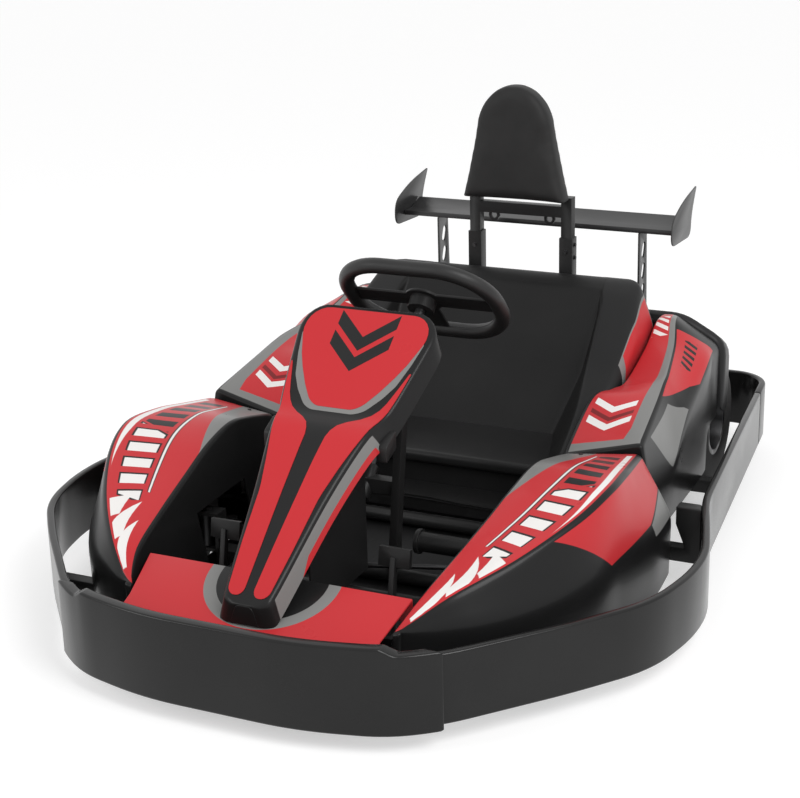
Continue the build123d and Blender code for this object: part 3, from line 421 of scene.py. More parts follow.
def front_pod_livery(colours):
    """Red top with black edges, slanted bars and stripes; black side with a red and a grey panel."""
    graph, shader = new_material("front_pod_paint")
    uv = livery_map(graph)
    red, black, grey, white = (opaque(c) for c in (colours.red, colours.black, colours.grey, colours.white))
    split = graph.add("ShaderNodeSeparateXYZ", {0: uv}).outputs
    slant = graph.math("ADD", split[0], graph.math("MULTIPLY", split[1], BAR_SLANT))
    phase = graph.math("FRACT", graph.math("MULTIPLY", slant, BARS_PER_METRE))
    bars = graph.math("LESS_THAN", phase, BAR_SHARE)
    off_middle = graph.math("ABSOLUTE", graph.math("SUBTRACT", phase, BAR_SHARE / 2))
    edged = graph.math("LESS_THAN", off_middle, BAR_EDGE)
    front_field = convex(graph, uv, [(0.33, 2.42), (0.53, 2.48), (0.55, 2.8), (0.33, 2.76)])
    front_rim = convex(graph, uv, [(0.325, 2.4), (0.535, 2.46), (0.555, 2.825), (0.325, 2.785)])
    rear_field = convex(graph, uv, [(0.54, 2.48), (0.77, 2.56), (0.77, 2.81), (0.56, 2.8)])
    layers = [
        (strip(graph, uv, 0.158, 0.818, 2.03, 2.965), red),
        (convex(graph, uv, [(0.46, 2.0), (0.83, 2.0), (0.83, 2.5), (0.74, 2.38), (0.62, 2.2)]), grey),
        (strip(graph, uv, 0.1, 0.83, 1.2, 2.03), black),
        (convex(graph, uv, [(0.36, 2.30), (0.77, 2.485), (0.77, 2.535), (0.36, 2.35)]), black),
        (convex(graph, uv, [(0.36, 2.31), (0.77, 2.495), (0.77, 2.52), (0.36, 2.335)]), white),
        (convex(graph, uv, [(0.4, 2.925), (0.52, 2.86), (0.79, 2.86), (0.79, 2.93)]), white),
        (graph.math("MULTIPLY", edged, front_rim), black),
        (graph.math("MULTIPLY", bars, front_field), white),
        (graph.math("MULTIPLY", bars, rear_field), black),
        (convex(graph, uv, [(0.17, 2.86), (0.175, 2.52), (0.28, 2.3), (0.2, 2.86)]), white),
        (convex(graph, uv, [(0.215, 2.88), (0.23, 2.6), (0.33, 2.36), (0.25, 2.88)]), white),
        (convex(graph, uv, [(0.265, 2.9), (0.28, 2.7), (0.34, 2.54), (0.31, 2.9)]), white),
        (convex(graph, uv, [(0.385, 3.07), (0.818, 3.07), (0.818, 3.55), (0.69, 3.8), (0.5, 3.85), (0.46, 3.58)]), red),
        (convex(graph, uv, [(0.695, 3.82), (0.818, 3.58), (0.83, 3.58), (0.83, 4.02), (0.7, 4.0)]), grey),
    ]
    gloss_livery(graph, shader, layered(graph, black, layers))


# Rear pods' chevrons: v of their points, bend for each step of v, then start in u, thickness and whether white
CHEVRON_V = 1.42
CHEVRON_BEND = 0.095
CHEVRONS = [(0.896, 0.019, True), (0.924, 0.012, False), (0.951, 0.019, True)]
# Rear pods' slashes: slant for each step of v, number in a metre, share of the pitch
SLASH_SLANT = 0.03
SLASHES_PER_METRE = 44.0
SLASH_SHARE = 0.5


def rear_pod_livery(colours):
    """Red top with white chevrons and a grey border; black side with a red and a grey panel."""
    graph, shader = new_material("rear_pod_paint")
    uv = livery_map(graph)
    red, black, grey, white = (opaque(c) for c in (colours.red, colours.black, colours.grey, colours.white))
    dark_red = opaque([c * 0.35 for c in colours.red])
    split = graph.add("ShaderNodeSeparateXYZ", {0: uv}).outputs
    bend = graph.math("MULTIPLY", graph.math("ABSOLUTE", graph.math("SUBTRACT", split[1], CHEVRON_V)), CHEVRON_BEND)
    nose = graph.math("SUBTRACT", split[0], bend)
    field = strip(graph, uv, 0.85, 1.05, 1.12, 1.71)
    slant = graph.math("ADD", split[0], graph.math("MULTIPLY", split[1], SLASH_SLANT))
    phase = graph.math("FRACT", graph.math("MULTIPLY", slant, SLASHES_PER_METRE))
    slashes = graph.math("LESS_THAN", phase, SLASH_SHARE)
    tail = convex(graph, uv, [(1.295, 1.12), (1.37, 1.12), (1.37, 1.72), (1.3, 1.72)])
    side_tail = convex(graph, uv, [(1.19, 2.28), (1.3, 2.28), (1.31, 2.62), (1.2, 2.62)])
    layers = [
        (strip(graph, uv, 0.846, 1.395, 1.03, 1.97), grey),
        (convex(graph, uv, [(0.864, 1.03), (1.395, 1.03), (1.395, 1.97), (1.07, 1.97), (0.9, 1.77), (0.864, 1.77)]),
         red),
        (strip(graph, uv, 0.83, 1.41, 0.0, 1.055), black),
        (convex(graph, uv, [(1.03, 2.05), (1.32, 2.03), (1.345, 2.95), (1.2, 2.97)]), red),
        (graph.math("MULTIPLY", slashes, side_tail), black),
        (convex(graph, uv, [(0.9, 2.16), (1.045, 2.26), (1.115, 2.93), (1.0, 2.99)]), grey),
        (graph.math("MULTIPLY", slashes, tail), white),
    ]
    for start, thick, is_white in CHEVRONS:
        arm = graph.math("MULTIPLY", graph.math("GREATER_THAN", nose, start),
                         graph.math("LESS_THAN", nose, start + thick))
        layers.append((graph.math("MULTIPLY", arm, field), white if is_white else dark_red))
    gloss_livery(graph, shader, layered(graph, black, layers))


# Crescent on the nose deck: d of its middle, squeeze along d, outer and inner radius in metres
CRESCENT_D = 215
CRESCENT_SQUEEZE = 1.15
CRESCENT_R = (0.13, 0.106)


def nose_livery(colours):
    """Red shelf with a grey crescent and a black field round the fairing's foot."""
    graph, shader = new_material("nose_paint")
    place = graph.add("ShaderNodeTexCoord").outputs["Object"]
    centre = at(0, CRESCENT_D, 0)
    shifted = graph.add("ShaderNodeVectorMath", {0: place, 1: (0, -centre.y, 0)}, operation="ADD").outputs[0]
    squeeze = (1.0, CRESCENT_SQUEEZE, 0)
    squeezed = graph.add("ShaderNodeVectorMath", {0: shifted, 1: squeeze}, operation="MULTIPLY").outputs[0]
    reach = graph.add("ShaderNodeVectorMath", {0: squeezed}, operation="LENGTH").outputs["Value"]
    red, black, grey = (opaque(c) for c in (colours.red, colours.black, colours.grey))
    layers = [(graph.math("LESS_THAN", reach, radius), paint) for radius, paint in zip(CRESCENT_R, (grey, black))]
    gloss_livery(graph, shader, layered(graph, red, layers))


def skirt_livery(colours):
    """Black fairing shell whose lower side walls are grey with a red hem."""
    graph, shader = new_material("fairing_paint")
    uv = livery_map(graph)
    black, grey, red = (opaque(c) for c in (colours.black, colours.grey, colours.red))
    wall = [(0.13, -0.1), (0.44, -0.1), (0.42, 0.78), (0.13, 0.78)]
    hem = [(0.19, -0.1), (0.43, -0.1), (0.42, 0.3), (0.22, 0.3)]
    layers = both_sides(graph, uv, 3, [(wall, grey), (hem, red)])
    gloss_livery(graph, shader, layered(graph, black, layers))


def seat_livery(colours):
    """Matte black shell with painted light on its shoulders, painted shade on its hollow's wall and a grey-edged red
    panel on each flank.
    """
    graph, shader = new_material("seat_paint")
    uv = livery_map(graph)
    seat, grey, red = (opaque(c) for c in (colours.seat, colours.grey, colours.red))
    edging = [(1.13, 0.5), (1.365, 0.5), (1.365, 1.72), (1.34, 1.8), (1.15, 1.8)]
    panel = [(1.15, 0.5), (1.36, 0.5), (1.36, 1.68), (1.33, 1.72), (1.175, 1.72)]
    # Painted light and shade: the shoulders (rim) get a lighter copy of the seat colour as if lit, and the hollow's
    # wall (wall) a darker copy as its shade.
    shoulder, shade = opaque([1.9 * c for c in colours.seat]), opaque([0.3 * c for c in colours.seat])
    rim = [(0.83, 0.0), (1.42, 0.0), (1.42, 3.0), (0.83, 3.0)]
    wall = [(0.9, 3.08), (1.36, 3.08), (1.3, 3.9), (0.9, 3.9)]
    layers = both_sides(graph, uv, 9, [(rim, shoulder), (wall, shade), (edging, grey), (panel, red)])
    tone = graph.group("colour_drift", {"Color": layered(graph, seat, layers), "Amount": 0.08})
    graph.put(shader["Base Color"], tone.outputs[0])
    surface(graph, shader, graph.group("moulded_grain", {"Scale": 800.0, "Roughness": 0.46, "Spread": 0.12}), 0.2)
    shader["Specular IOR Level"].default_value = 0.18


def leather(name, colour):
    """Black leatherette with a pebbled grain."""
    graph, shader = new_material(name)
    place = graph.add("ShaderNodeTexCoord").outputs["Object"]
    cells = graph.add("ShaderNodeTexVoronoi", {"Vector": place, "Scale": 420.0}, feature="DISTANCE_TO_EDGE")
    tone = graph.group("colour_drift", {"Color": opaque(colour), "Amount": 0.25})
    graph.put(shader["Base Color"], tone.outputs[0])
    shader["Specular IOR Level"].default_value = 0.2
    rough = graph.group("moulded_grain", {"Scale": 500.0, "Roughness": 0.52, "Spread": 0.15})
    graph.put(shader["Roughness"], rough.outputs["Roughness"])
    relief = graph.add("ShaderNodeBump", {"Height": cells.outputs[0], "Strength": 0.35, "Distance": 0.0006})
    graph.put(shader["Normal"], relief.outputs[0])


def rounded(points, radii, steps=4, fill=5):
    """Open line of (x, z) points with its corners rounded; each point also gets its place, counted in corners.

    Straights get fill - 1 points between their ends.
    """
    line = [(Vector(points[0]), 0.0)]

    def straight_to(point, place):
        start, first = line[-1]
        for k in range(1, fill):
            line.append((start.lerp(point, k / fill), first + (place - first) * k / fill))
        line.append((point, place))

    for k, radius in enumerate(radii, start=1):
        corner = Vector(points[k])
        back = Vector(points[k - 1]) - corner
        ahead = Vector(points[k + 1]) - corner
        trim = min(radius, 0.45 * back.length, 0.45 * ahead.length)
        start = corner + back.normalized() * trim
        end = corner + ahead.normalized() * trim
        first = k - trim / back.length
        last = k + trim / ahead.length
        straight_to(start, first)
        for step in range(1, steps + 1):
            t = step / steps
            point = start * (1 - t) ** 2 + corner * (2 * t * (1 - t)) + end * t**2
            line.append((point, first + (last - first) * t))
    straight_to(Vector(points[-1]), float(len(points) - 1))
    return line


def eased(rows, steps):
    """Rows of numbers with smooth in-between rows, through each given row."""
    result = []
    for k in range(len(rows) - 1):
        before = rows[max(k - 1, 0)]
        start, end = rows[k], rows[k + 1]
        after = rows[min(k + 2, len(rows) - 1)]
        for step in range(steps):
            t = step / steps
            row = []
            for a, b, c, e in zip(before, start, end, after):
                slope_in, slope_out = (c - a) / 2, (e - b) / 2
                h1 = 2 * t**3 - 3 * t**2 + 1
                h2 = t**3 - 2 * t**2 + t
                row.append(h1 * b + h2 * slope_in + (1 - h1) * c + (t**3 - t**2) * slope_out)
            result.append(row)
    result.append(list(rows[-1]))
    return result


def reading(rows, d, column):
    """Value of one column of rows at station d."""
    for low, high in zip(rows, rows[1:]):
        if d <= high[0]:
            return low[column] + (d - low[0]) / (high[0] - low[0]) * (high[column] - low[column])
    return rows[-1][column]


def new_object(name, mesh):
    piece = bpy.data.objects.new(name, mesh)
    bpy.context.scene.collection.objects.link(piece)
    return piece


def grid_mesh(name, rings, capped=(False, False)):
    """Mesh through rings of (point, u, v), with u and v kept as its livery map, and its ends closed if asked."""
    width = len(rings[0])
    points = [entry[0] for ring in rings for entry in ring]
    faces = []
    for i in range(len(rings) - 1):
        for j in range(width - 1):
            a = i * width + j
            faces.append((a, a + 1, a + width + 1, a + width))
    if capped[0]:
        faces.append(tuple(range(width)))
    if capped[1]:
        faces.append(tuple(range((len(rings) - 1) * width, len(rings) * width)))
    mesh = bpy.data.meshes.new(name)
    mesh.from_pydata(points, [], faces)
    places = [(entry[1], entry[2]) for ring in rings for entry in ring]
    layer = mesh.uv_layers.new(name="livery")
    for loop in mesh.loops:
        layer.data[loop.index].uv = places[loop.vertex_index]
    return mesh


def point_outwards(mesh, inside=None):
    """Turn a mesh's faces outwards; an open shell's turn away from a point inside it."""
    solid = bmesh.new()
    solid.from_mesh(mesh)
    bmesh.ops.recalc_face_normals(solid, faces=solid.faces)
    if inside is not None:
        facing = sum(f.normal.dot(f.calc_center_median() - inside) * f.calc_area() for f in solid.faces)
        if facing < 0:
            bmesh.ops.reverse_faces(solid, faces=solid.faces)
    solid.to_mesh(mesh)
    solid.free()


def thickened(piece, thickness, offset):
    """Give a sheet its thickness: outwards with offset 1, inwards with -1, both ways with 0."""
    sheet = piece.modifiers.new("thickness", "SOLIDIFY")
    sheet.thickness = thickness
    sheet.offset = offset
    return sheet


def bevelled(piece, width, segments, angle=30):
    """Round the edges of a piece that are sharper than an angle."""
    edge = piece.modifiers.new("edge", "BEVEL")
    edge.width = width
    edge.segments = segments
    edge.limit_method = "ANGLE"
    edge.angle_limit = radians(angle)
    return piece


def baked(piece):
    """Put the result of a piece's modifiers into its mesh."""
    depsgraph = bpy.context.evaluated_depsgraph_get()
    made = bpy.data.meshes.new_from_object(piece.evaluated_get(depsgraph))
    old = piece.data
    piece.modifiers.clear()
    piece.data = made
    made.name = piece.name
    bpy.data.meshes.remove(old)
    return piece


def smooth(piece, angle=38):
    """Shade a piece smooth, apart from its sharp edges."""
    piece.data.shade_smooth()
    piece.data.set_sharp_from_angle(angle=radians(angle))
    return piece


def dress(piece, material_names, body, slot, *nodes):
    """Give a finished piece its materials and its body, and hide the nodes it stands for. The slot is not used."""
    for name in material_names:
        piece.data.materials.append(finish[name])
    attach(piece, body)
    if nodes:
        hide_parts(*nodes)
    return piece


def shell(name, rows, side, radii, inside, wall, cap, hidden=lambda d, v, z: False, steps=6):
    """Moulded shell through rows of d and corner points, rounded at its corners and ends, hollow and open below.

    inside is an x, d and z within it, hidden tells which faces are left open, and side -1 mirrors it.
    """
    fine = eased(rows, steps)
    first, last = fine[0], fine[-1]
    ends = [(sin(k / 4 * pi / 2), 1 - cos(k / 4 * pi / 2)) for k in range(5)]
    stations = [(first, first[0] + cap * (1 - s), cap * i) for s, i in reversed(ends)]
    stations += [(row, row[0], 0) for row in fine if first[0] + cap < row[0] < last[0] - cap]
    stations += [(last, last[0] - cap * (1 - s), cap * i) for s, i in ends]
    rings = []
    for row, d, inset in stations:
        corners = [(row[k], row[k + 1]) for k in range(1, len(row), 2)]
        line = rounded(corners, radii)
        middle = sum((p for p, _ in line), Vector((0, 0))) / len(line)
        ring = []
        for point, place in line:
            moved = point + (middle - point).normalized() * inset
            moved.y = max(moved.y, min(row[2], row[-1]))
            ring.append((at(side * moved.x, d, moved.y), d * MM, place))
        rings.append(ring)
    mesh = grid_mesh(name, rings, (True, True))
    solid = bmesh.new()
    solid.from_mesh(mesh)
    layer = solid.loops.layers.uv["livery"]
    gone = []
    for face in solid.faces:
        middle = face.calc_center_median()
        place = sum(loop[layer].uv.y for loop in face.loops) / len(face.loops)
        if hidden((middle.y - NOSE_Y) / MM, place, middle.z / MM):
            gone.append(face)
    bmesh.ops.delete(solid, geom=gone, context="FACES")
    solid.to_mesh(mesh)
    solid.free()
    x, d, z = inside
    point_outwards(mesh, at(side * x, d, z))
    piece = new_object(name, mesh)
    thick = thickened(piece, wall, -1)
    thick.material_offset = 1
    thick.material_offset_rim = 1
    return piece


def joined(name, pieces):
    """One piece out of several, which are used up."""
    solid = bmesh.new()
    for piece in pieces:
        solid.from_mesh(piece.data)
        mesh = piece.data
        bpy.data.objects.remove(piece)
        bpy.data.meshes.remove(mesh)
    whole = bpy.data.meshes.new(name)
    solid.to_mesh(whole)
    solid.free()
    return new_object(name, whole)


def lathe(name, profile, x, d, z, steps):
    """Turned mesh of (offset along x, radius) points round an axle at x, d, z, in millimetres."""
    rings = []
    for step in range(steps):
        turn = 2 * pi * step / steps
        rings.append([at(x + offset, d + radius * sin(turn), z + radius * cos(turn)) for offset, radius in profile])
    width = len(profile)
    points = [p for ring in rings for p in ring]
    faces = []
    for i in range(steps):
        for j in range(width):
            a, b = i * width + j, i * width + (j + 1) % width
            c, e = ((i + 1) % steps) * width + (j + 1) % width, ((i + 1) % steps) * width + j
            faces.append((a, b, c, e))
    mesh = bpy.data.meshes.new(name)
    mesh.from_pydata(points, [], faces)
    point_outwards(mesh)
    return mesh


def softened(node, name, width, segments=3):
    """Copy of a node's shape with its sharp edges rounded."""
    mesh = frame["nodes"][node].data.copy()
    mesh.materials.clear()
    solid = bmesh.new()
    solid.from_mesh(mesh)
    bmesh.ops.remove_doubles(solid, verts=solid.verts, dist=1e-5)
    bmesh.ops.dissolve_limit(solid, angle_limit=radians(0.6), verts=solid.verts, edges=solid.edges)
    solid.to_mesh(mesh)
    solid.free()
    return smooth(baked(bevelled(new_object(name, mesh), width, segments, 32)), 30)


class KART_OT_finishes(Operator):
    """Make the shader groups and every finish of the kart"""

    bl_idname = "kart.finishes"
    bl_label = "Finishes"

    def execute(self, context):
        colours = context.scene.kart_colours
        grain_group()
        drift_group()
        half_plane_group()
        brushed_group()
        plastic("bumper_plastic", colours.bumper, 0.2, grain=1100.0, bump=0.05, drift=0.08, shine=0.28)
        plastic("black_plastic", colours.black, 0.36, grain=1100.0, bump=0.12, drift=0.1)
        plastic("cover_plastic", colours.cover, 0.4, grain=1100.0, bump=0.15, drift=0.1)
        plastic("red_gloss", colours.red, 0.3, grain=260.0, bump=0.04, drift=0.04, shine=0.16)
        plastic("grey_gloss", colours.grey, 0.35, grain=260.0, bump=0.04, drift=0.06)
        plastic("tyre_rubber", colours.rubber, 0.72, grain=1500.0, bump=0.5, drift=0.4)
        plastic("grip_rubber", colours.grip, 0.4, grain=1800.0, bump=0.4, drift=0.15, shine=0.35)
        plastic("powder_coat", colours.black, 0.38, grain=700.0, bump=0.3, drift=0.12, shine=0.25)
        plastic("wing_paint", colours.wing, 0.3, grain=400.0, bump=0.08, drift=0.1, shine=0.4)
        plastic("drive_paint", colours.drive, 0.45, grain=500.0, bump=0.5, drift=0.3)
        plastic("thread", colours.thread, 0.8, grain=2500.0, bump=0.5)
        metal("bare_steel", colours.steel, 0.42, (30, 900, 900))
        metal("rim_alloy", colours.rim, 0.34, (900, 60, 60))
        metal("tray_alloy", colours.tray, 0.5, (900, 25, 900))
        leather("pad_leather", colours.black)
        seat_livery(colours)
        front_pod_livery(colours)
        rear_pod_livery(colours)
        nose_livery(colours)
        skirt_livery(colours)
        return {"FINISHED"}


class KART_OT_bumpers(Operator):
    """Round off the bumper ring's bands and the bars that carry them"""

    bl_idname = "kart.bumpers"
    bl_label = "Bumper ring"

    def execute(self, context):
        edge = context.scene.kart_sizes.bumper_edge
        for node in ("front_bumper", "side_bumper_left", "side_bumper_right", "rear_bumper"):
            band = softened(node, node + "_band", edge, 4)
            dress(band, ["bumper_plastic"], "chassis", "bumper_black", node)
        stays = softened("bumper_stays", "stay_bars", 0.003)
        dress(stays, ["powder_coat"], "chassis", "frame_black", "bumper_stays")
        return {"FINISHED"}


class KART_OT_front_pods(Operator):
    """Mould the two pods over the front wheels"""

    bl_idname = "kart.front_pods"
    bl_label = "Front pods"

    def execute(self, context):
        sizes = context.scene.kart_sizes
        rows = []
        for d, inner_x, inner_z, ridge_x, ridge_z, belt_x, foot_z in FRONT_POD:
            notch_z = min(NOTCH_TOP, inner_z - NOTCH_MARGIN)
            foot_x = inner_x - POD_LEAN * (inner_z - POD_BOTTOM)
            notch_x = inner_x - POD_LEAN * (inner_z - notch_z)
            rows.append([d, foot_x, POD_BOTTOM, notch_x, notch_z, inner_x, inner_z, ridge_x, ridge_z,
                         belt_x, BELT_Z, belt_x - FRONT_WALL_IN, foot_z])

        def in_notch(d, place, z):
            return NOTCH_D[0] < d < NOTCH_D[1] and place < 0.99 and z < NOTCH_TOP

        for side, sx in SIDES:
            pod = shell(f"front_pod_{side}_panel", rows, sx, FRONT_POD_ROUND, FRONT_POD_INSIDE,
                        sizes.panel_wall, sizes.panel_cap / MM, in_notch)
            smooth(baked(pod))
            dress(pod, ["front_pod_paint", "black_plastic"], "chassis", "body_red", f"front_pod_{side}")
        return {"FINISHED"}


def rounded_loop(points, steps=8):
    """Closed outline of (a, b, radius) corners with the corners rounded."""
    line = []
    for k, (a, b, radius) in enumerate(points):
        corner = Vector((a, b))
        back = Vector(points[k - 1][:2]) - corner
        ahead = Vector(points[(k + 1) % len(points)][:2]) - corner
        start = corner + back.normalized() * min(radius, 0.48 * back.length)
        end = corner + ahead.normalized() * min(radius, 0.48 * ahead.length)
        for step in range(steps + 1):
            t = step / steps
            line.append(start * (1 - t) ** 2 + corner * (2 * t * (1 - t)) + end * t**2)
    return line


def cut_away(piece, cutter):
    """Take the cutter's shape out of a panel; the cutter is used up."""
    cut = piece.modifiers.new("cut", "BOOLEAN")
    cut.object = cutter
    cut.operation = "DIFFERENCE"
    cut.use_self = True
    baked(piece)
    mesh = cutter.data
    bpy.data.objects.remove(cutter)
    bpy.data.meshes.remove(mesh)
    return piece


def cut_arch(piece, side, reach):
    """Cut the rear wheel's arch out of a panel, as far as reach on both sides of the wheel's middle."""
    profile = [(-reach, 0.5), (-reach, ARCH_R), (reach, ARCH_R), (reach, 0.5)]
    mesh = lathe("arch_cutter", profile, side * REAR_WHEEL_X, REAR_AXLE_D, REAR_TYRE_R, 96)
    return cut_away(piece, new_object("arch_cutter", mesh))


def prism(name, outline, x0, x1):
    """Closed block between two x of an outline of (d, z) points."""
    count = len(outline)
    points = [at(x, p[0], p[1]) for x in (x0, x1) for p in outline]
    faces = [tuple(range(count)), tuple(range(2 * count - 1, count - 1, -1))]
    faces += [(k, k + count, (k + 1) % count + count, (k + 1) % count) for k in range(count)]
    mesh = bpy.data.meshes.new(name)
    mesh.from_pydata(points, [], faces)
    point_outwards(mesh)
    return new_object(name, mesh)


class KART_OT_rear_pods(Operator):
    """Mould the two pods beside the seat"""

    bl_idname = "kart.rear_pods"
    bl_label = "Rear pods"

    def execute(self, context):
        sizes = context.scene.kart_sizes
        rows = []
        for d, inner_x, inner_z, ridge_x, ridge_z, hip_x, hip_z in REAR_POD:
            rows.append([d, inner_x, POD_BOTTOM, inner_x, inner_z, ridge_x, ridge_z, hip_x, hip_z,
                         hip_x - REAR_WALL_IN, POD_BOTTOM])
        for side, sx in SIDES:
            pod = shell(f"rear_pod_{side}_panel", rows, sx, REAR_POD_ROUND, REAR_POD_INSIDE,
                        sizes.panel_wall, sizes.panel_cap / MM)
            cut_arch(pod, sx, POD_ARCH_X)
            cut_away(pod, prism("skirt_cutter", rounded_loop(SKIRT_CUT), *(sx * x for x in POD_WALL_X)))
            smooth(pod)
            dress(pod, ["rear_pod_paint", "black_plastic"], "chassis", "body_red", f"rear_pod_{side}")
        return {"FINISHED"}


class KART_OT_rear_covers(Operator):
    """Mould the fenders and the deck behind the seat"""

    bl_idname = "kart.rear_covers"
    bl_label = "Rear covers"

    def execute(self, context):
        sizes = context.scene.kart_sizes
        rows = []
        for d, ridge_x, ridge_z, belt_x, belt_z, foot_z in REAR_FENDER:
            rows.append([d, FENDER_IN, ridge_z, ridge_x, ridge_z, belt_x, belt_z, belt_x, foot_z])
        covers = []
        for side, sx in SIDES:
            cover = shell(f"fender_{side}", rows, sx, FENDER_ROUND, FENDER_INSIDE, sizes.panel_wall, FENDER_CAP)
            covers.append(smooth(cut_arch(cover, sx, FENDER_ARCH_X)))
        fenders = joined("fender_covers", covers)
        dress(fenders, ["cover_plastic", "black_plastic"], "chassis", "cover_grey", "rear_fenders")
        deck = softened("rear_deck", "deck_cover", 0.0022, 3)
        low, high = DECK_TAPER_Z
        for vertex in deck.data.vertices:
            vertex.co.x *= 1 - DECK_TAPER * min(max((vertex.co.z / MM - low) / (high - low), 0), 1)
        dress(deck, ["black_plastic"], "chassis", "body_black", "rear_deck")
        return {"FINISHED"}


FAIRING_FACE = eased(FAIRING, 8)


def on_fairing(x, d, lift):
    """Point on the fairing's face, lifted off it by some millimetres."""
    return at(x, d, reading(FAIRING_FACE, d, 1) + lift)


def rounded_ends(edges, start_r, end_r):
    """Rows of (d, inner x, outer x) drawn in at both ends as if their corners were round."""
    low, high = edges[0][0], edges[-1][0]
    steps = [k / 7 for k in range(8)]
    stations = [low + start_r * (1 - cos(s * pi / 2)) for s in steps]
    stations += [low + start_r + (high - end_r - low - start_r) * s for s in [k / 30 for k in range(1, 30)]]
    stations += [high - end_r * (1 - sin(s * pi / 2)) for s in steps]
    rows = []
    for d in stations:
        inner, outer = reading(edges, d, 1), reading(edges, d, 2)
        near_start = max(0.0, 1 - (d - low) / start_r)
        near_end = max(0.0, 1 - (high - d) / end_r)
        draw = start_r * (1 - (1 - near_start**2) ** 0.5) + end_r * (1 - (1 - near_end**2) ** 0.5)
        draw = min(draw, 0.48 * (outer - inner))
        rows.append((d, inner + draw, outer - draw))
    return rows


INLAY_ACROSS = 12


def inlay(name, rows, side, thickness):
    """Thin raised panel on the fairing's face between two edges."""
    rings = []
    for d, inner, outer in rows:
        line = [inner + (outer - inner) * k / INLAY_ACROSS for k in range(INLAY_ACROSS + 1)]
        rings.append([(on_fairing(side * x, d, 0), d * MM, x * MM) for x in line])
    mesh = grid_mesh(name, rings)
    point_outwards(mesh, UNDER_FAIRING)
    panel = new_object(name, mesh)
    thickened(panel, thickness, 1)
    return smooth(baked(panel), 40)


# Number panel, its grey border and the lower panels beside the channel: d, inner x, outer x
NUMBER_PANEL = [(468, -46, 46), (484, -60, 60), (505, -77, 77), (535, -97, 97), (560, -111, 111), (600, -128, 128),
                (630, -137, 137), (649, -141, 141)]
NUMBER_BORDER = [(458, -52, 52), (474, -68, 68), (495, -88, 88), (520, -105, 105), (560, -119, 119), (600, -129, 129)]
LOWER_PANEL = [(119, 9, 40), (200, 12, 51), (288, 16, 60), (340, 18, 74), (395, 21, 91), (415, 28, 96), (430, 42, 99),
               (445, 64, 102), (460, 82, 106), (480, 98, 112), (510, 110, 119), (545, 123, 126)]
# Rounding of their front and rear ends, and of the fairing's own
FAIRING_ENDS = (16, 52)
PANEL_ENDS = (16, 54)
BORDER_ENDS = (14, 4)
LOWER_ENDS = (14, 3)
BORDER_SHARE = 0.6
# Chevrons on the number panel: d of the point, arm's reach, arm's rise, thickness
MARKS = [(536, 62, 46, 26), (574, 62, 46, 26)]
MARK_STEPS, MARK_ACROSS = 10, 4
MARK_LIFT = 0.1
MARK_FILM = 0.0003


class KART_OT_fairing(Operator):
    """Mould the fairing over the steering column, with its red inlays round a black channel"""

    bl_idname = "kart.fairing"
    bl_label = "Fairing"

    def execute(self, context):
        sizes = context.scene.kart_sizes
        low, high = FAIRING[0][0], FAIRING[-1][0]
        outline = [(d, -reading(FAIRING_FACE, d, 2), reading(FAIRING_FACE, d, 2)) for d in range(low, high + 1, 10)]
        rows = []
        for d, _, half in rounded_ends(outline, *FAIRING_ENDS):
            top = reading(FAIRING_FACE, d, 1)
            foot = max(top - FAIRING_DEPTH, FAIRING_LOW)
            rows.append([d, half + FAIRING_FLARE, foot, half, top, -half, top, -half - FAIRING_FLARE, foot])
        body = shell("fairing_shell", rows, 1, FAIRING_ROUND, FAIRING_INSIDE, sizes.panel_wall, FAIRING_CAP, steps=1)
        smooth(baked(body), 64)
        dress(body, ["fairing_paint", "black_plastic"], "chassis", "body_red", "steering_fairing")

        thickness = sizes.inlay
        border = inlay("number_border", rounded_ends(NUMBER_BORDER, *BORDER_ENDS), 1, thickness * BORDER_SHARE)
        dress(border, ["grey_gloss"], "chassis", "cover_grey")
        panel = inlay("number_panel", rounded_ends(NUMBER_PANEL, *PANEL_ENDS), 1, thickness)
        dress(panel, ["red_gloss"], "chassis", "body_red")
        for side, sx in SIDES:
            lower = inlay(f"lower_panel_{side}", rounded_ends(LOWER_PANEL, *LOWER_ENDS), sx, thickness)
            dress(lower, ["red_gloss"], "chassis", "body_red")
        arms = []
        for tip, reach, rise, thick in MARKS:
            for sx in (1, -1):
                rings = []
                for k in range(MARK_STEPS + 1):
                    x, d = reach * k / MARK_STEPS, tip + rise * k / MARK_STEPS
                    rings.append([(on_fairing(sx * x, d + step * thick / MARK_ACROSS, thickness / MM + MARK_LIFT), x, d)
                                  for step in range(MARK_ACROSS + 1)])
                mesh = grid_mesh("mark_arm", rings)
                point_outwards(mesh, UNDER_FAIRING)
                arm = new_object("mark_arm", mesh)
                thickened(arm, MARK_FILM, 1)
                arms.append(baked(arm))
        mark = joined("number_mark", arms)
        dress(mark, ["black_plastic"], "chassis", "body_black")
        return {"FINISHED"}


# Half of the floor pan's outline, round the sweep of the front wheel: x, d, rounding
FLOOR_PAN = [(150, 120, 10), (242, 150, 10), (242, 390, 10), (304, 400, 10), (304, 632, 10), (330, 675, 10),
             (530, 675, 20), (500, 862, 20), (300, 862, 5), (300, 960, 10)]
FLOOR_Z = (51, 54.6)
ABOVE_FLOOR = (0, 500, 100)
# Upright flange between the pan and the front wheel: d, z, rounding
WELL_FLANGE = [(404, 53, 1), (404, 84, 10), (630, 84, 10), (630, 53, 1)]
WELL_FLANGE_X = (297, 300)


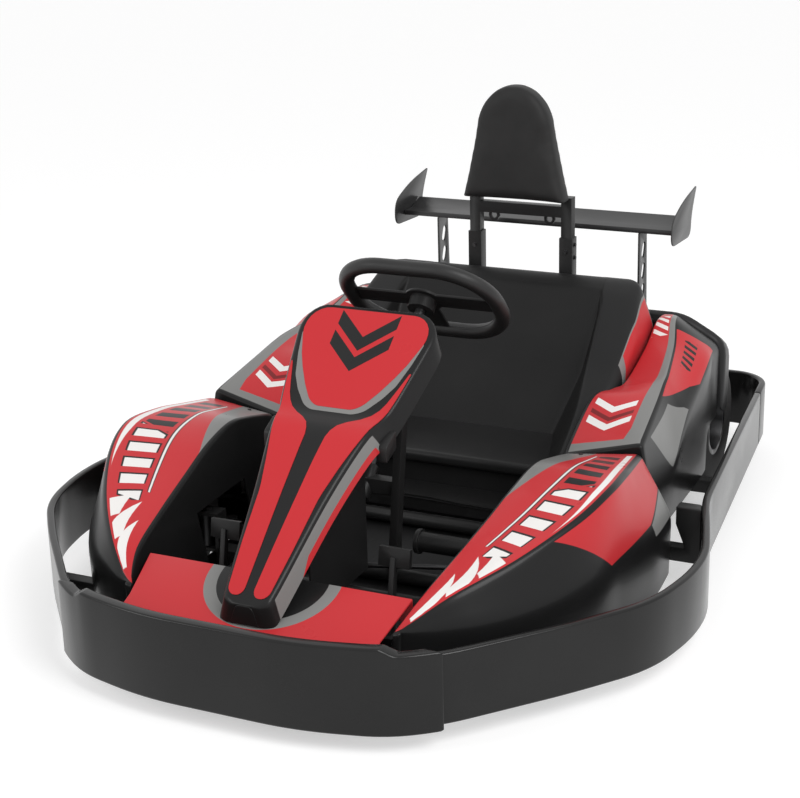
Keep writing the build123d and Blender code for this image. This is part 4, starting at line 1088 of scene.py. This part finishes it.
class KART_OT_floor(Operator):
    """Lay the floor pan, with wings under the pods"""

    bl_idname = "kart.floor"
    bl_label = "Floor pan"

    def execute(self, context):
        outline = rounded_loop(FLOOR_PAN + [(-x, d, r) for x, d, r in reversed(FLOOR_PAN)])
        mesh = bpy.data.meshes.new("floor_pan")
        mesh.from_pydata([at(p.x, p.y, FLOOR_Z[0]) for p in outline], [], [tuple(range(len(outline)))])
        pan = new_object("floor_pan", mesh)
        point_outwards(mesh, at(*ABOVE_FLOOR))
        thickened(pan, (FLOOR_Z[1] - FLOOR_Z[0]) * MM, -1)
        flanges = [prism(f"flange_{side}", rounded_loop(WELL_FLANGE, 4), sx * WELL_FLANGE_X[0], sx * WELL_FLANGE_X[1])
                   for side, sx in SIDES]
        pan = smooth(joined("floor_pan", [baked(pan)] + flanges), 30)
        dress(pan, ["tray_alloy"], "chassis", "tray_metal", "floor_tray")
        return {"FINISHED"}


# Plate beside the column under the fairing: d and z of its foot, then stations along the fairing's underside
SHROUD_X = 62
SHROUD_T = 3
SHROUD_FOOT = [(466, 122), (238, 122)]
SHROUD_TOP_D = (238, 290, 340, 400, 440, 466)
SHROUD_LAP = 8
# Sleeve across the footwell: offset along x and radius
SLEEVE = [(82, 4), (82, 25), (88, 26), (91, 25), (91, 21), (96, 20), (252, 20), (256, 18), (256, 4)]
SLEEVE_D, SLEEVE_Z = 650, 107
# Bracket on the fairing's edge: d, z, rounding
EDGE_BRACKET = [(426, 356, 5), (426, 388, 8), (470, 408, 8), (470, 372, 5)]
EDGE_BRACKET_X = (106, 127)


class KART_OT_footwell(Operator):
    """Close the space under the fairing and set the brackets and sleeves beside it"""

    bl_idname = "kart.footwell"
    bl_label = "Footwell"

    def execute(self, context):
        shroud = SHROUD_FOOT + [(d, reading(FAIRING_FACE, d, 1) - FAIRING_DEPTH + SHROUD_LAP) for d in SHROUD_TOP_D]
        plates, sleeves, brackets = [], [], []
        for side, sx in SIDES:
            plates.append(prism(f"shroud_{side}", shroud, sx * SHROUD_X, sx * (SHROUD_X - SHROUD_T)))
            profile = [(sx * offset, radius) for offset, radius in SLEEVE]
            sleeves.append(new_object(f"sleeve_{side}", lathe("sleeve", profile, 0, SLEEVE_D, SLEEVE_Z, 48)))
            bracket = prism(f"bracket_{side}", rounded_loop(EDGE_BRACKET, 4), *(sx * x for x in EDGE_BRACKET_X))
            brackets.append(baked(bevelled(bracket, 0.002, 3)))
        dress(smooth(joined("column_shroud", plates), 30), ["black_plastic"], "chassis", "body_black")
        dress(smooth(joined("footwell_sleeves", sleeves), 40), ["powder_coat"], "chassis", "frame_black")
        dress(smooth(joined("fairing_brackets", brackets), 40), ["powder_coat"], "chassis", "frame_black")
        return {"FINISHED"}


class KART_OT_nose(Operator):
    """Finish the shelf between the ring and the footwell"""

    bl_idname = "kart.nose"
    bl_label = "Nose deck"

    def execute(self, context):
        deck = softened("nose_deck", "nose_shelf", 0.002)
        dress(deck, ["nose_paint"], "chassis", "body_red", "nose_deck")
        return {"FINISHED"}


# Seat along its length: its ends in d and the step between sections
SEAT_D = (840, 1405)
SEAT_STEP = 9
# d and z of its rim, of the hollow's floor, then d and half width of its plan, and d and z of its foot
SEAT_RIM = [(840, 165), (880, 200), (1000, 262), (1325, 462), (1375, 481), (1405, 470)]
SEAT_FLOOR = [(840, 112), (1010, 120), (1085, 152), (1372, 523), (1405, 566)]
SEAT_HALF = [(840, 309), (1000, 309), (1102, 344), (1405, 344)]
SEAT_FOOT = [(840, 86), (1293, 86), (1297, 242), (1405, 290)]
# How far the corners of these lines are eased, each way along d
RIM_EASE, HALF_EASE, FLOOR_EASE = 22, 15, 26
# Half width of the hollow between the flanks' lips: d, x; and at its floor: z, x
SEAT_LIP = [(840, 286), (1040, 279), (1114, 268), (1263, 246), (1349, 230), (1405, 222)]
SEAT_HOLLOW = [(0, 200), (130, 200), (300, 240), (900, 240)]
# Draw-in of the hollow's floor for its depth, its limit, and its least distance inside the lip
FLOOR_DRAW, FLOOR_DRAW_MOST, FLOOR_LIP = 0.12, 18, 6
# Flanks: height at which they lean in, slope, least draw-in, and drop from rim to shoulder
SEAT_FLANK_Z = 379
SEAT_FLANK_SLOPE = 34 / 104
SEAT_EDGE = 14
SEAT_SHOULDER = 22
# Rounding of the seat's upper corners, shared between its flanks and its rim
SEAT_CORNER = 62
CORNER_FLANK, CORNER_RIM = 0.6, 0.4
SEAT_ROUND = [14, 18, 8, 12, 12, 8, 18, 14]
SEAT_CAP = 12
SEAT_INSIDE = (0, 1150, 60)
# Side view of the raised base inside the seat, with its rolled front lip: d, z, rounding
SEAT_BASE = [(1132, 100, 2), (1132, 190, 2), (944, 190, 12), (913, 189, 12), (913, 165, 10), (927, 162, 6),
             (927, 96, 2)]
SEAT_BASE_X = 272


def eased_reading(rows, d, reach):
    """Value of rows of (d, value), averaged over a reach each way so its corners come out round."""
    spots = [min(max(d + reach * k / 4, rows[0][0]), rows[-1][0]) for k in range(-4, 5)]
    return sum(reading(rows, spot, 1) for spot in spots) / len(spots)


class KART_OT_seat(Operator):
    """Mould the bucket seat and the raised base in it"""

    bl_idname = "kart.seat"
    bl_label = "Seat"

    def execute(self, context):
        sizes = context.scene.kart_sizes
        rows = []
        for d in [*range(*SEAT_D, SEAT_STEP), SEAT_D[1]]:
            rim = eased_reading(SEAT_RIM, d, RIM_EASE)
            half = eased_reading(SEAT_HALF, d, HALF_EASE)
            floor = min(eased_reading(SEAT_FLOOR, d, FLOOR_EASE), rim - 0.5)
            shoulder = min(rim - SEAT_SHOULDER, SEAT_FLANK_Z)
            drawn = SEAT_CORNER * (1 - (1 - max(0, (d - SEAT_D[1]) / SEAT_CORNER + 1) ** 2) ** 0.5)
            half -= CORNER_FLANK * drawn
            top_x = half - max(SEAT_EDGE, SEAT_FLANK_SLOPE * (rim - SEAT_FLANK_Z)) - CORNER_RIM * drawn
            lip_x = reading(SEAT_LIP, d, 1)
            floor_x = reading(SEAT_HOLLOW, floor, 1) - min(FLOOR_DRAW * (rim - floor), FLOOR_DRAW_MOST)
            floor_x = min(floor_x, lip_x - FLOOR_LIP)
            line = [(half, reading(SEAT_FOOT, d, 1)), (half, shoulder), (top_x, rim), (lip_x, rim), (floor_x, floor)]
            row = [d]
            for x, z in line + [(-x, z) for x, z in reversed(line)]:
                row += [x, z]
            rows.append(row)
        seat = shell("seat_shell", rows, 1, SEAT_ROUND, SEAT_INSIDE, sizes.panel_wall, SEAT_CAP, steps=1)
        smooth(baked(seat), 50)
        dress(seat, ["seat_paint", "black_plastic"], "chassis", "seat_black", "seat")
        base = prism("seat_base", rounded_loop(SEAT_BASE), -SEAT_BASE_X, SEAT_BASE_X)
        dress(smooth(base), ["black_plastic"], "chassis", "seat_black")
        return {"FINISHED"}


CLOTH_FRAMES = 20
CLOTH_PRESSURE = 4.0


def relaxed(piece, rounds):
    """Smooth a piece's surface over some rounds."""
    relax = piece.modifiers.new("relax", "SMOOTH")
    relax.factor = 0.5
    relax.iterations = rounds
    return baked(piece)


def inflated(node, name, cell, limit, taper):
    """Cushion out of a node's shape, drawn in by taper at its top, blown up by cloth pressure within a limit."""
    mesh = frame["nodes"][node].data.copy()
    mesh.materials.clear()
    heights = [vertex.co.z for vertex in mesh.vertices]
    low, high = min(heights), max(heights)
    for vertex in mesh.vertices:
        vertex.co.x *= 1 - taper * (vertex.co.z - low) / (high - low)
    cushion = new_object(name, mesh)
    remesh = cushion.modifiers.new("skin", "REMESH")
    remesh.mode = "VOXEL"
    remesh.voxel_size = cell
    relaxed(cushion, 6)
    scene = bpy.context.scene
    before = [v.co.copy() for v in cushion.data.vertices]
    cloth = cushion.modifiers.new("padding", "CLOTH")
    cloth.settings.use_pressure = True
    cloth.settings.uniform_pressure_force = CLOTH_PRESSURE
    cloth.settings.effector_weights.gravity = 0.0
    cloth.point_cache.frame_end = CLOTH_FRAMES
    for number in range(1, CLOTH_FRAMES + 1):
        scene.frame_set(number)
    baked(cushion)
    for vertex, start in zip(cushion.data.vertices, before):
        move = vertex.co - start
        if move.length > limit:
            vertex.co = start + move * (limit / move.length)
    scene.frame_set(1)
    relaxed(cushion, 14)
    fine = cushion.modifiers.new("fine", "SUBSURF")
    fine.levels = 1
    fine.render_levels = 1
    return smooth(baked(cushion), 60)


# Cushion: cell of its skin, the most it swells, and its draw-in at the top
CUSHION_CELL = 0.0055
CUSHION_SWELL = 0.006
CUSHION_TAPER = 0.13
# Height the headrest frame ends at, under the cushion, and the share that is kept of what rises past it
FRAME_TOP = 638
FRAME_PAST = 0.1


class KART_OT_headrest(Operator):
    """Pad the headrest and finish the frame that carries it"""

    bl_idname = "kart.headrest"
    bl_label = "Headrest"

    def execute(self, context):
        pad = inflated("headrest_pad", "headrest_cushion", CUSHION_CELL, CUSHION_SWELL, CUSHION_TAPER)
        dress(pad, ["pad_leather"], "chassis", "pad_leather", "headrest_pad")
        for node in ("headrest_hoop", "headrest_frame"):
            tube = softened(node, node + "_tube", 0.002)
            for vertex in tube.data.vertices:
                vertex.co.z = min(vertex.co.z, FRAME_TOP * MM + FRAME_PAST * (vertex.co.z - FRAME_TOP * MM))
            dress(tube, ["powder_coat"], "chassis", "frame_black", node)
        return {"FINISHED"}


# Wing endplate outline in d and z, with the rounding of each corner
WING_END = [(1482, 530, 26), (1483, 588, 30), (1570, 619, 60), (1678, 635, 9), (1640, 574, 40), (1637, 523, 30)]
WING_X = 343
WING_PLATE = 3


class KART_OT_wing(Operator):
    """Finish the rear wing and round its endplates"""

    bl_idname = "kart.wing"
    bl_label = "Wing"

    def execute(self, context):
        for node in ("wing_posts", "wing_blade"):
            plate = softened(node, node + "_plate", 0.0012, 2)
            dress(plate, ["wing_paint"], "chassis", "wing_black", node)
        outline = rounded_loop(WING_END)
        ends = []
        for side, sx in SIDES:
            mesh = bpy.data.meshes.new(f"wing_end_{side}")
            mesh.from_pydata([at(sx * WING_X, p.x, p.y) for p in outline], [], [tuple(range(len(outline)))])
            end = new_object(f"wing_end_{side}", mesh)
            thickened(end, WING_PLATE * MM, 0)
            ends.append(smooth(baked(bevelled(end, 0.0008, 2))))
        plates = joined("wing_ends", ends)
        dress(plates, ["wing_paint"], "chassis", "wing_black", "wing_endplates")
        return {"FINISHED"}


def new_tree(name, inputs):
    """Geometry node tree with named inputs, its graph and its end sockets."""
    tree = bpy.data.node_groups.new(name, "GeometryNodeTree")
    tree.interface.new_socket("Geometry", in_out="INPUT", socket_type="NodeSocketGeometry")
    for label, kind in inputs:
        tree.interface.new_socket(label, in_out="INPUT", socket_type=kind)
    tree.interface.new_socket("Geometry", in_out="OUTPUT", socket_type="NodeSocketGeometry")
    graph = Graph(tree)
    return graph, graph.add("NodeGroupInput").outputs, graph.add("NodeGroupOutput").inputs


def grown(name, mesh, tree_name, values):
    """Plain mesh that a geometry node tree makes out of a mesh, with the tree's inputs set by name."""
    tree = bpy.data.node_groups[tree_name]
    piece = new_object(name, mesh)
    growth = piece.modifiers.new(tree_name, "NODES")
    growth.node_group = tree
    for socket in tree.interface.items_tree:
        if socket.in_out == "INPUT" and socket.name in values:
            growth[socket.identifier] = values[socket.name]
    return baked(piece)


STITCH_R = 0.0008
STITCH_LENGTH = 0.006


def grip_tree():
    """Rubber grip swept round a rounded rectangle, with a row of stitches on its inner side."""
    sizes = [(label, "NodeSocketFloat") for label in ("Width", "Height", "Corner", "Tube", "Pitch")]
    finishes = [(label, "NodeSocketMaterial") for label in ("Rubber", "Thread")]
    graph, given, out = new_tree("grip_wrap", sizes + finishes)

    def loop(inset):
        spans = [graph.math("SUBTRACT", given[label], 2 * inset) for label in ("Width", "Height")]
        frame_line = graph.add("GeometryNodeCurvePrimitiveQuadrilateral", {"Width": spans[0], "Height": spans[1]})
        corner = graph.math("SUBTRACT", given["Corner"], inset)
        return graph.add("GeometryNodeFilletCurve", {"Curve": frame_line.outputs[0], "Count": 16, "Radius": corner},
                         mode="POLY").outputs[0]

    ring = graph.add("GeometryNodeCurvePrimitiveCircle", {"Resolution": 20, "Radius": given["Tube"]})
    tube = graph.add("GeometryNodeCurveToMesh", {"Curve": loop(0.0), "Profile Curve": ring.outputs[0]})
    rubber = graph.add("GeometryNodeSetMaterial", {"Geometry": tube.outputs[0], "Material": given["Rubber"]})
    line = graph.add("GeometryNodeCurveToPoints", {"Curve": loop(GRIP_TUBE * MM), "Length": given["Pitch"]},
                     mode="LENGTH")
    stitch = graph.add("GeometryNodeMeshCylinder", {"Vertices": 8, "Radius": STITCH_R, "Depth": STITCH_LENGTH})
    row = graph.add("GeometryNodeInstanceOnPoints", {"Points": line.outputs["Points"], "Instance": stitch.outputs[0],
                                                     "Rotation": line.outputs["Rotation"]})
    real = graph.add("GeometryNodeRealizeInstances", {"Geometry": row.outputs[0]})
    thread = graph.add("GeometryNodeSetMaterial", {"Geometry": real.outputs[0], "Material": given["Thread"]})
    whole = graph.add("GeometryNodeJoinGeometry")
    for branch in (rubber, thread):
        graph.put(whole.inputs[0], branch.outputs[0])
    graph.put(out["Geometry"], whole.outputs[0])


# Steering wheel's grip: half width and height of its path, corner and tube radius
GRIP_HALF = (164, 122)
GRIP_CORNER = 108
GRIP_TUBE = 16


class KART_OT_steering(Operator):
    """Finish the steering wheel, its column and support"""

    bl_idname = "kart.steering"
    bl_label = "Steering"

    def execute(self, context):
        grip_tree()
        values = {
            "Width": 2 * GRIP_HALF[0] * MM,
            "Height": 2 * GRIP_HALF[1] * MM,
            "Corner": GRIP_CORNER * MM,
            "Tube": GRIP_TUBE * MM,
            "Pitch": context.scene.kart_sizes.stitch_pitch,
            "Rubber": finish["grip_rubber"],
            "Thread": finish["thread"],
        }
        grip = grown("wheel_grip", bpy.data.meshes.new("wheel_grip"), "grip_wrap", values)
        tilt = Matrix(((1, 0, 0), (0, cos(WHEEL_TILT), sin(WHEEL_TILT)), (0, -sin(WHEEL_TILT), cos(WHEEL_TILT))))
        grip.data.transform(Matrix.Translation(WHEEL_CENTRE) @ tilt.to_4x4())
        smooth(grip, 50)
        dress(grip, [], "steering", "grip_rubber", "steering_grip")
        spokes = softened("steering_spokes", "wheel_spokes", 0.0012, 2)
        dress(spokes, ["powder_coat"], "steering", "drive_grey", "steering_spokes")
        support = softened("column_support", "support_posts", 0.002)
        dress(support, ["powder_coat"], "chassis", "frame_black", "column_support")
        return {"FINISHED"}


def tyre_profile(half, radius, rim):
    """Closed section of a slick tyre with two grooves, as (offset, radius) in millimetres."""
    side = [(half - 12, rim + 1), (half - 6, rim + 3), (half - 2, rim + 9), (half, rim + 20), (half, radius - 24),
            (half - 2, radius - 14), (half - 7, radius - 6), (half - 14, radius - 2), (half - 24, radius - 0.3)]
    groove = 0.36 * half
    tread = [(groove + 2.6, radius), (groove + 1.8, radius - 2.6), (groove - 1.8, radius - 2.6), (groove - 2.6, radius)]
    right = side + tread
    left = [(-offset, r) for offset, r in reversed(right)]
    return right + left + [(12 - half, rim + 8), (half - 12, rim + 8)]


# Wheels: node of the tyre, body, half width, radius, wheel centres x, d
TYRES = [
    ("front_tyre_left", "front_wheel_left", 50, 125, (408,), 515),
    ("front_tyre_right", "front_wheel_right", 50, 125, (-408,), 515),
    ("rear_tyres", "rear_axle", 82.5, REAR_TYRE_R, (REAR_WHEEL_X, -REAR_WHEEL_X), REAR_AXLE_D),
]
RIM_R = 63
# Turned rear axle with a ring groove near each end: offset along x, radius
AXLE = [(453, 0.5), (453, 17), (450.5, 19.5), (446, 19.5), (446, 18), (443, 18), (443, 19.5)]
AXLE += [(-offset, radius) for offset, radius in reversed(AXLE)]


class KART_OT_wheels(Operator):
    """Turn the tyres and finish the rims"""

    bl_idname = "kart.wheels"
    bl_label = "Wheels"

    def execute(self, context):
        steps = context.scene.kart_sizes.lathe_steps
        for node, body, half, radius, centres, d in TYRES:
            rings = []
            for x in centres:
                mesh = lathe(node, tyre_profile(half, radius, RIM_R), x, d, radius, steps)
                rings.append(new_object(node + "_ring", mesh))
            tyre = smooth(joined(node + "_rubber", rings))
            dress(tyre, ["tyre_rubber"], body, "tyre_rubber", node)
        axle = smooth(new_object("axle_shaft", lathe("axle_shaft", AXLE, 0, REAR_AXLE_D, REAR_TYRE_R, steps)), 30)
        dress(axle, ["bare_steel"], "rear_axle", "steel", "rear_axle")
        for node, body in (("front_rim_left", "front_wheel_left"), ("front_rim_right", "front_wheel_right"),
                           ("rear_rims", "rear_axle")):
            rim = softened(node, node + "_alloy", 0.0012, 2)
            dress(rim, ["rim_alloy"], body, "rim_metal", node)
        return {"FINISHED"}


def bolt_tree():
    """Hexagon head on a washer at each point, turned along its facing and scaled by its size."""
    graph, given, out = new_tree("bolt_heads", [("Material", "NodeSocketMaterial")])
    washer = graph.add("GeometryNodeMeshCylinder", {"Vertices": 20, "Radius": 0.7, "Depth": 0.14})
    head = graph.add("GeometryNodeMeshCylinder", {"Vertices": 6, "Radius": 0.5, "Depth": 0.4})
    lifted = graph.add("GeometryNodeTransform", {"Geometry": head.outputs[0], "Translation": (0, 0, 0.26)})
    bolt = graph.add("GeometryNodeJoinGeometry")
    for branch in (washer, lifted):
        graph.put(bolt.inputs[0], branch.outputs[0])
    facing = graph.add("GeometryNodeInputNamedAttribute", {"Name": "facing"}, data_type="FLOAT_VECTOR")
    size = graph.add("GeometryNodeInputNamedAttribute", {"Name": "size"}, data_type="FLOAT")
    turn = graph.add("FunctionNodeAlignRotationToVector", {"Vector": facing.outputs[0]}, axis="Z")
    row = graph.add("GeometryNodeInstanceOnPoints", {"Points": given["Geometry"], "Instance": bolt.outputs[0],
                                                     "Rotation": turn.outputs[0], "Scale": size.outputs[0]})
    real = graph.add("GeometryNodeRealizeInstances", {"Geometry": row.outputs[0]})
    painted = graph.add("GeometryNodeSetMaterial", {"Geometry": real.outputs[0], "Material": given["Material"]})
    graph.put(out["Geometry"], painted.outputs[0])


# Bolts on the chassis, mirrored to both sides: x, d, z, facing, head size
CHASSIS_BOLTS = [
    (372, 793, 277.5, (-0.1, 0.2, 1), 9),
    (128.5, 1440, 530, (1, 0, 0), 8),
    (128.5, 1440, 500, (1, 0, 0), 8),
    (112, 1423.5, 515, (0, -1, 0), 8),
]


class KART_OT_fasteners(Operator):
    """Set the bolt heads"""

    bl_idname = "kart.fasteners"
    bl_label = "Fasteners"

    def execute(self, context):
        bolt_tree()
        points, facings, sizes = [], [], []
        for x, d, z, facing, size in CHASSIS_BOLTS:
            for sx in (1, -1):
                points.append(at(sx * x, d, z))
                facings.append((sx * facing[0], facing[1], facing[2]))
                sizes.append(size * MM)
        mesh = bpy.data.meshes.new("chassis_bolts")
        mesh.from_pydata(points, [], [])
        turns = mesh.attributes.new("facing", "FLOAT_VECTOR", "POINT")
        turns.data.foreach_set("vector", [c for facing in facings for c in facing])
        mesh.attributes.new("size", "FLOAT", "POINT").data.foreach_set("value", sizes)
        bolts = smooth(grown("chassis_bolts", mesh, "bolt_heads", {"Material": finish["bare_steel"]}), 30)
        dress(bolts, [], "chassis", "steel")
        return {"FINISHED"}


# Static pieces that only get rounded edges: node, name, edge width, finish, slot
SOFTENED = [
    ("foot_pedals", "pedal_plates", 0.0015, "powder_coat", "steel"),
    ("battery_boxes", "battery_cases", 0.006, "black_plastic", "body_black"),
    ("chain_case", "chain_cover", 0.003, "black_plastic", "body_black"),
    ("drive_motor", "motor_housing", 0.004, "drive_paint", "drive_grey"),
    ("brake_caliper", "caliper_body", 0.002, "drive_paint", "drive_grey"),
]


class KART_OT_rest(Operator):
    """Round off the small static pieces and give every other node its finish"""

    bl_idname = "kart.rest"
    bl_label = "Frame and running gear"

    def execute(self, context):
        by_slot = {
            "frame_black": "powder_coat",
            "tray_metal": "tray_alloy",
            "steel": "bare_steel",
            "rim_metal": "rim_alloy",
            "tyre_rubber": "tyre_rubber",
            "drive_grey": "drive_paint",
            "body_black": "black_plastic",
        }
        for node, name, width, material, slot in SOFTENED:
            dress(softened(node, name, width, 2), [material], "chassis", slot, node)
        slots = {part["node"]: part["material_slot"] for part in frame["record"]["subparts"]}
        for node, piece in frame["nodes"].items():
            if slots[node] in by_slot:
                piece.data.materials.clear()
                piece.data.materials.append(finish[by_slot[slots[node]]])
        return {"FINISHED"}


FLOOR_HALF = 30.0
# Lights: name, place, target, size
LAMPS = [
    ("key", (2.6, -1.6, 3.2), (0, 0, 0.3), 2.2),
    ("front", (-2.6, -3.0, 2.2), (0, -0.2, 0.3), 1.8),
]
LENS = 78.39
CAMERA_PLACE = (1.418, -3.109, 1.491)
CAMERA_RIGHT = (0.9072, 0.4201, -0.0240)
CAMERA_UP = (-0.1152, 0.3027, 0.9467)
CAMERA_BACK = (0.405, -0.856, 0.323)
WHITE = (1, 1, 1, 1)


def seen_directly(graph):
    """1 for rays from the camera, off gloss and through clear pieces, and 0 for light that only bounces on."""
    path = graph.add("ShaderNodeLightPath").outputs
    seen = graph.math("MAXIMUM", path["Is Camera Ray"], path["Is Glossy Ray"])
    return graph.math("MAXIMUM", seen, path["Is Transmission Ray"])


class KART_OT_stage(Operator):
    """Set up the floor, the light and the camera"""

    bl_idname = "kart.stage"
    bl_label = "Stage"

    def execute(self, context):
        studio = context.scene.kart_studio
        scene = context.scene
        scene.view_settings.view_transform = "Standard"
        mesh = bpy.data.meshes.new("floor")
        corners = [(-1, -1), (1, -1), (1, 1), (-1, 1)]
        mesh.from_pydata([(x * FLOOR_HALF, y * FLOOR_HALF, 0) for x, y in corners], [], [(0, 1, 2, 3)])
        floor = new_object("floor", mesh)
        graph, shader = new_material("floor_paint")
        tone = graph.group("colour_drift", {"Color": opaque(studio.floor), "Amount": 0.02})
        graph.put(shader["Base Color"], tone.outputs[0])
        shader["Roughness"].default_value = 0.9
        shader["Emission Color"].default_value = WHITE
        graph.put(shader["Emission Strength"], graph.math("MULTIPLY", seen_directly(graph), studio.floor_glow))
        mesh.materials.append(finish["floor_paint"])

        world = bpy.data.worlds.new("studio")
        world.use_nodes = True
        scene.world = world
        graph = Graph(world.node_tree)
        lift = graph.math("MULTIPLY", seen_directly(graph), 1.0 - studio.world_level)
        background = world.node_tree.nodes["Background"].inputs
        background["Color"].default_value = WHITE
        graph.put(background["Strength"], graph.math("ADD", lift, studio.world_level))

        for (name, place, target, size), power in zip(LAMPS, (studio.key_power, studio.fill_power)):
            light = bpy.data.lights.new(name, "AREA")
            light.energy = power
            light.shape = "DISK"
            light.size = size
            lamp = bpy.data.objects.new(name, light)
            lamp.location = place
            lamp.rotation_euler = (Vector(target) - Vector(place)).to_track_quat("-Z", "Y").to_euler()
            scene.collection.objects.link(lamp)

        lens = bpy.data.cameras.new("camera")
        lens.lens = LENS
        lens.sensor_fit = "HORIZONTAL"
        camera = bpy.data.objects.new("camera", lens)
        turn = Matrix((CAMERA_RIGHT, CAMERA_UP, CAMERA_BACK)).transposed().to_quaternion()
        camera.matrix_world = Matrix.Translation(CAMERA_PLACE) @ turn.to_matrix().to_4x4()
        scene.collection.objects.link(camera)
        scene.camera = camera
        return {"FINISHED"}


STEPS = (
    KART_OT_finishes,
    KART_OT_bumpers,
    KART_OT_front_pods,
    KART_OT_rear_pods,
    KART_OT_rear_covers,
    KART_OT_fairing,
    KART_OT_floor,
    KART_OT_footwell,
    KART_OT_nose,
    KART_OT_seat,
    KART_OT_headrest,
    KART_OT_wing,
    KART_OT_steering,
    KART_OT_wheels,
    KART_OT_fasteners,
    KART_OT_rest,
    KART_OT_stage,
)


class KART_PT_panel(Panel):
    """Lists the steps that dress the kart"""

    bl_idname = "KART_PT_panel"
    bl_label = "Racing kart"
    bl_space_type = "VIEW_3D"
    bl_region_type = "UI"
    bl_category = "Kart"

    def draw(self, context):
        for step in STEPS:
            self.layout.operator(step.bl_idname)


GROUPS = {"kart_colours": KartColours, "kart_sizes": KartSizes, "kart_studio": KartStudio}


def register():
    for kind in (*GROUPS.values(), *STEPS, KART_PT_panel):
        bpy.utils.register_class(kind)
    for name, kind in GROUPS.items():
        setattr(bpy.types.Scene, name, PointerProperty(type=kind))


def unregister():
    for name in GROUPS:
        delattr(bpy.types.Scene, name)
    for kind in reversed((*GROUPS.values(), *STEPS, KART_PT_panel)):
        bpy.utils.unregister_class(kind)


def main():
    register()
    for step in STEPS:
        group, name = step.bl_idname.split(".")
        getattr(getattr(bpy.ops, group), name)()


if __name__ == "__main__":
    main()
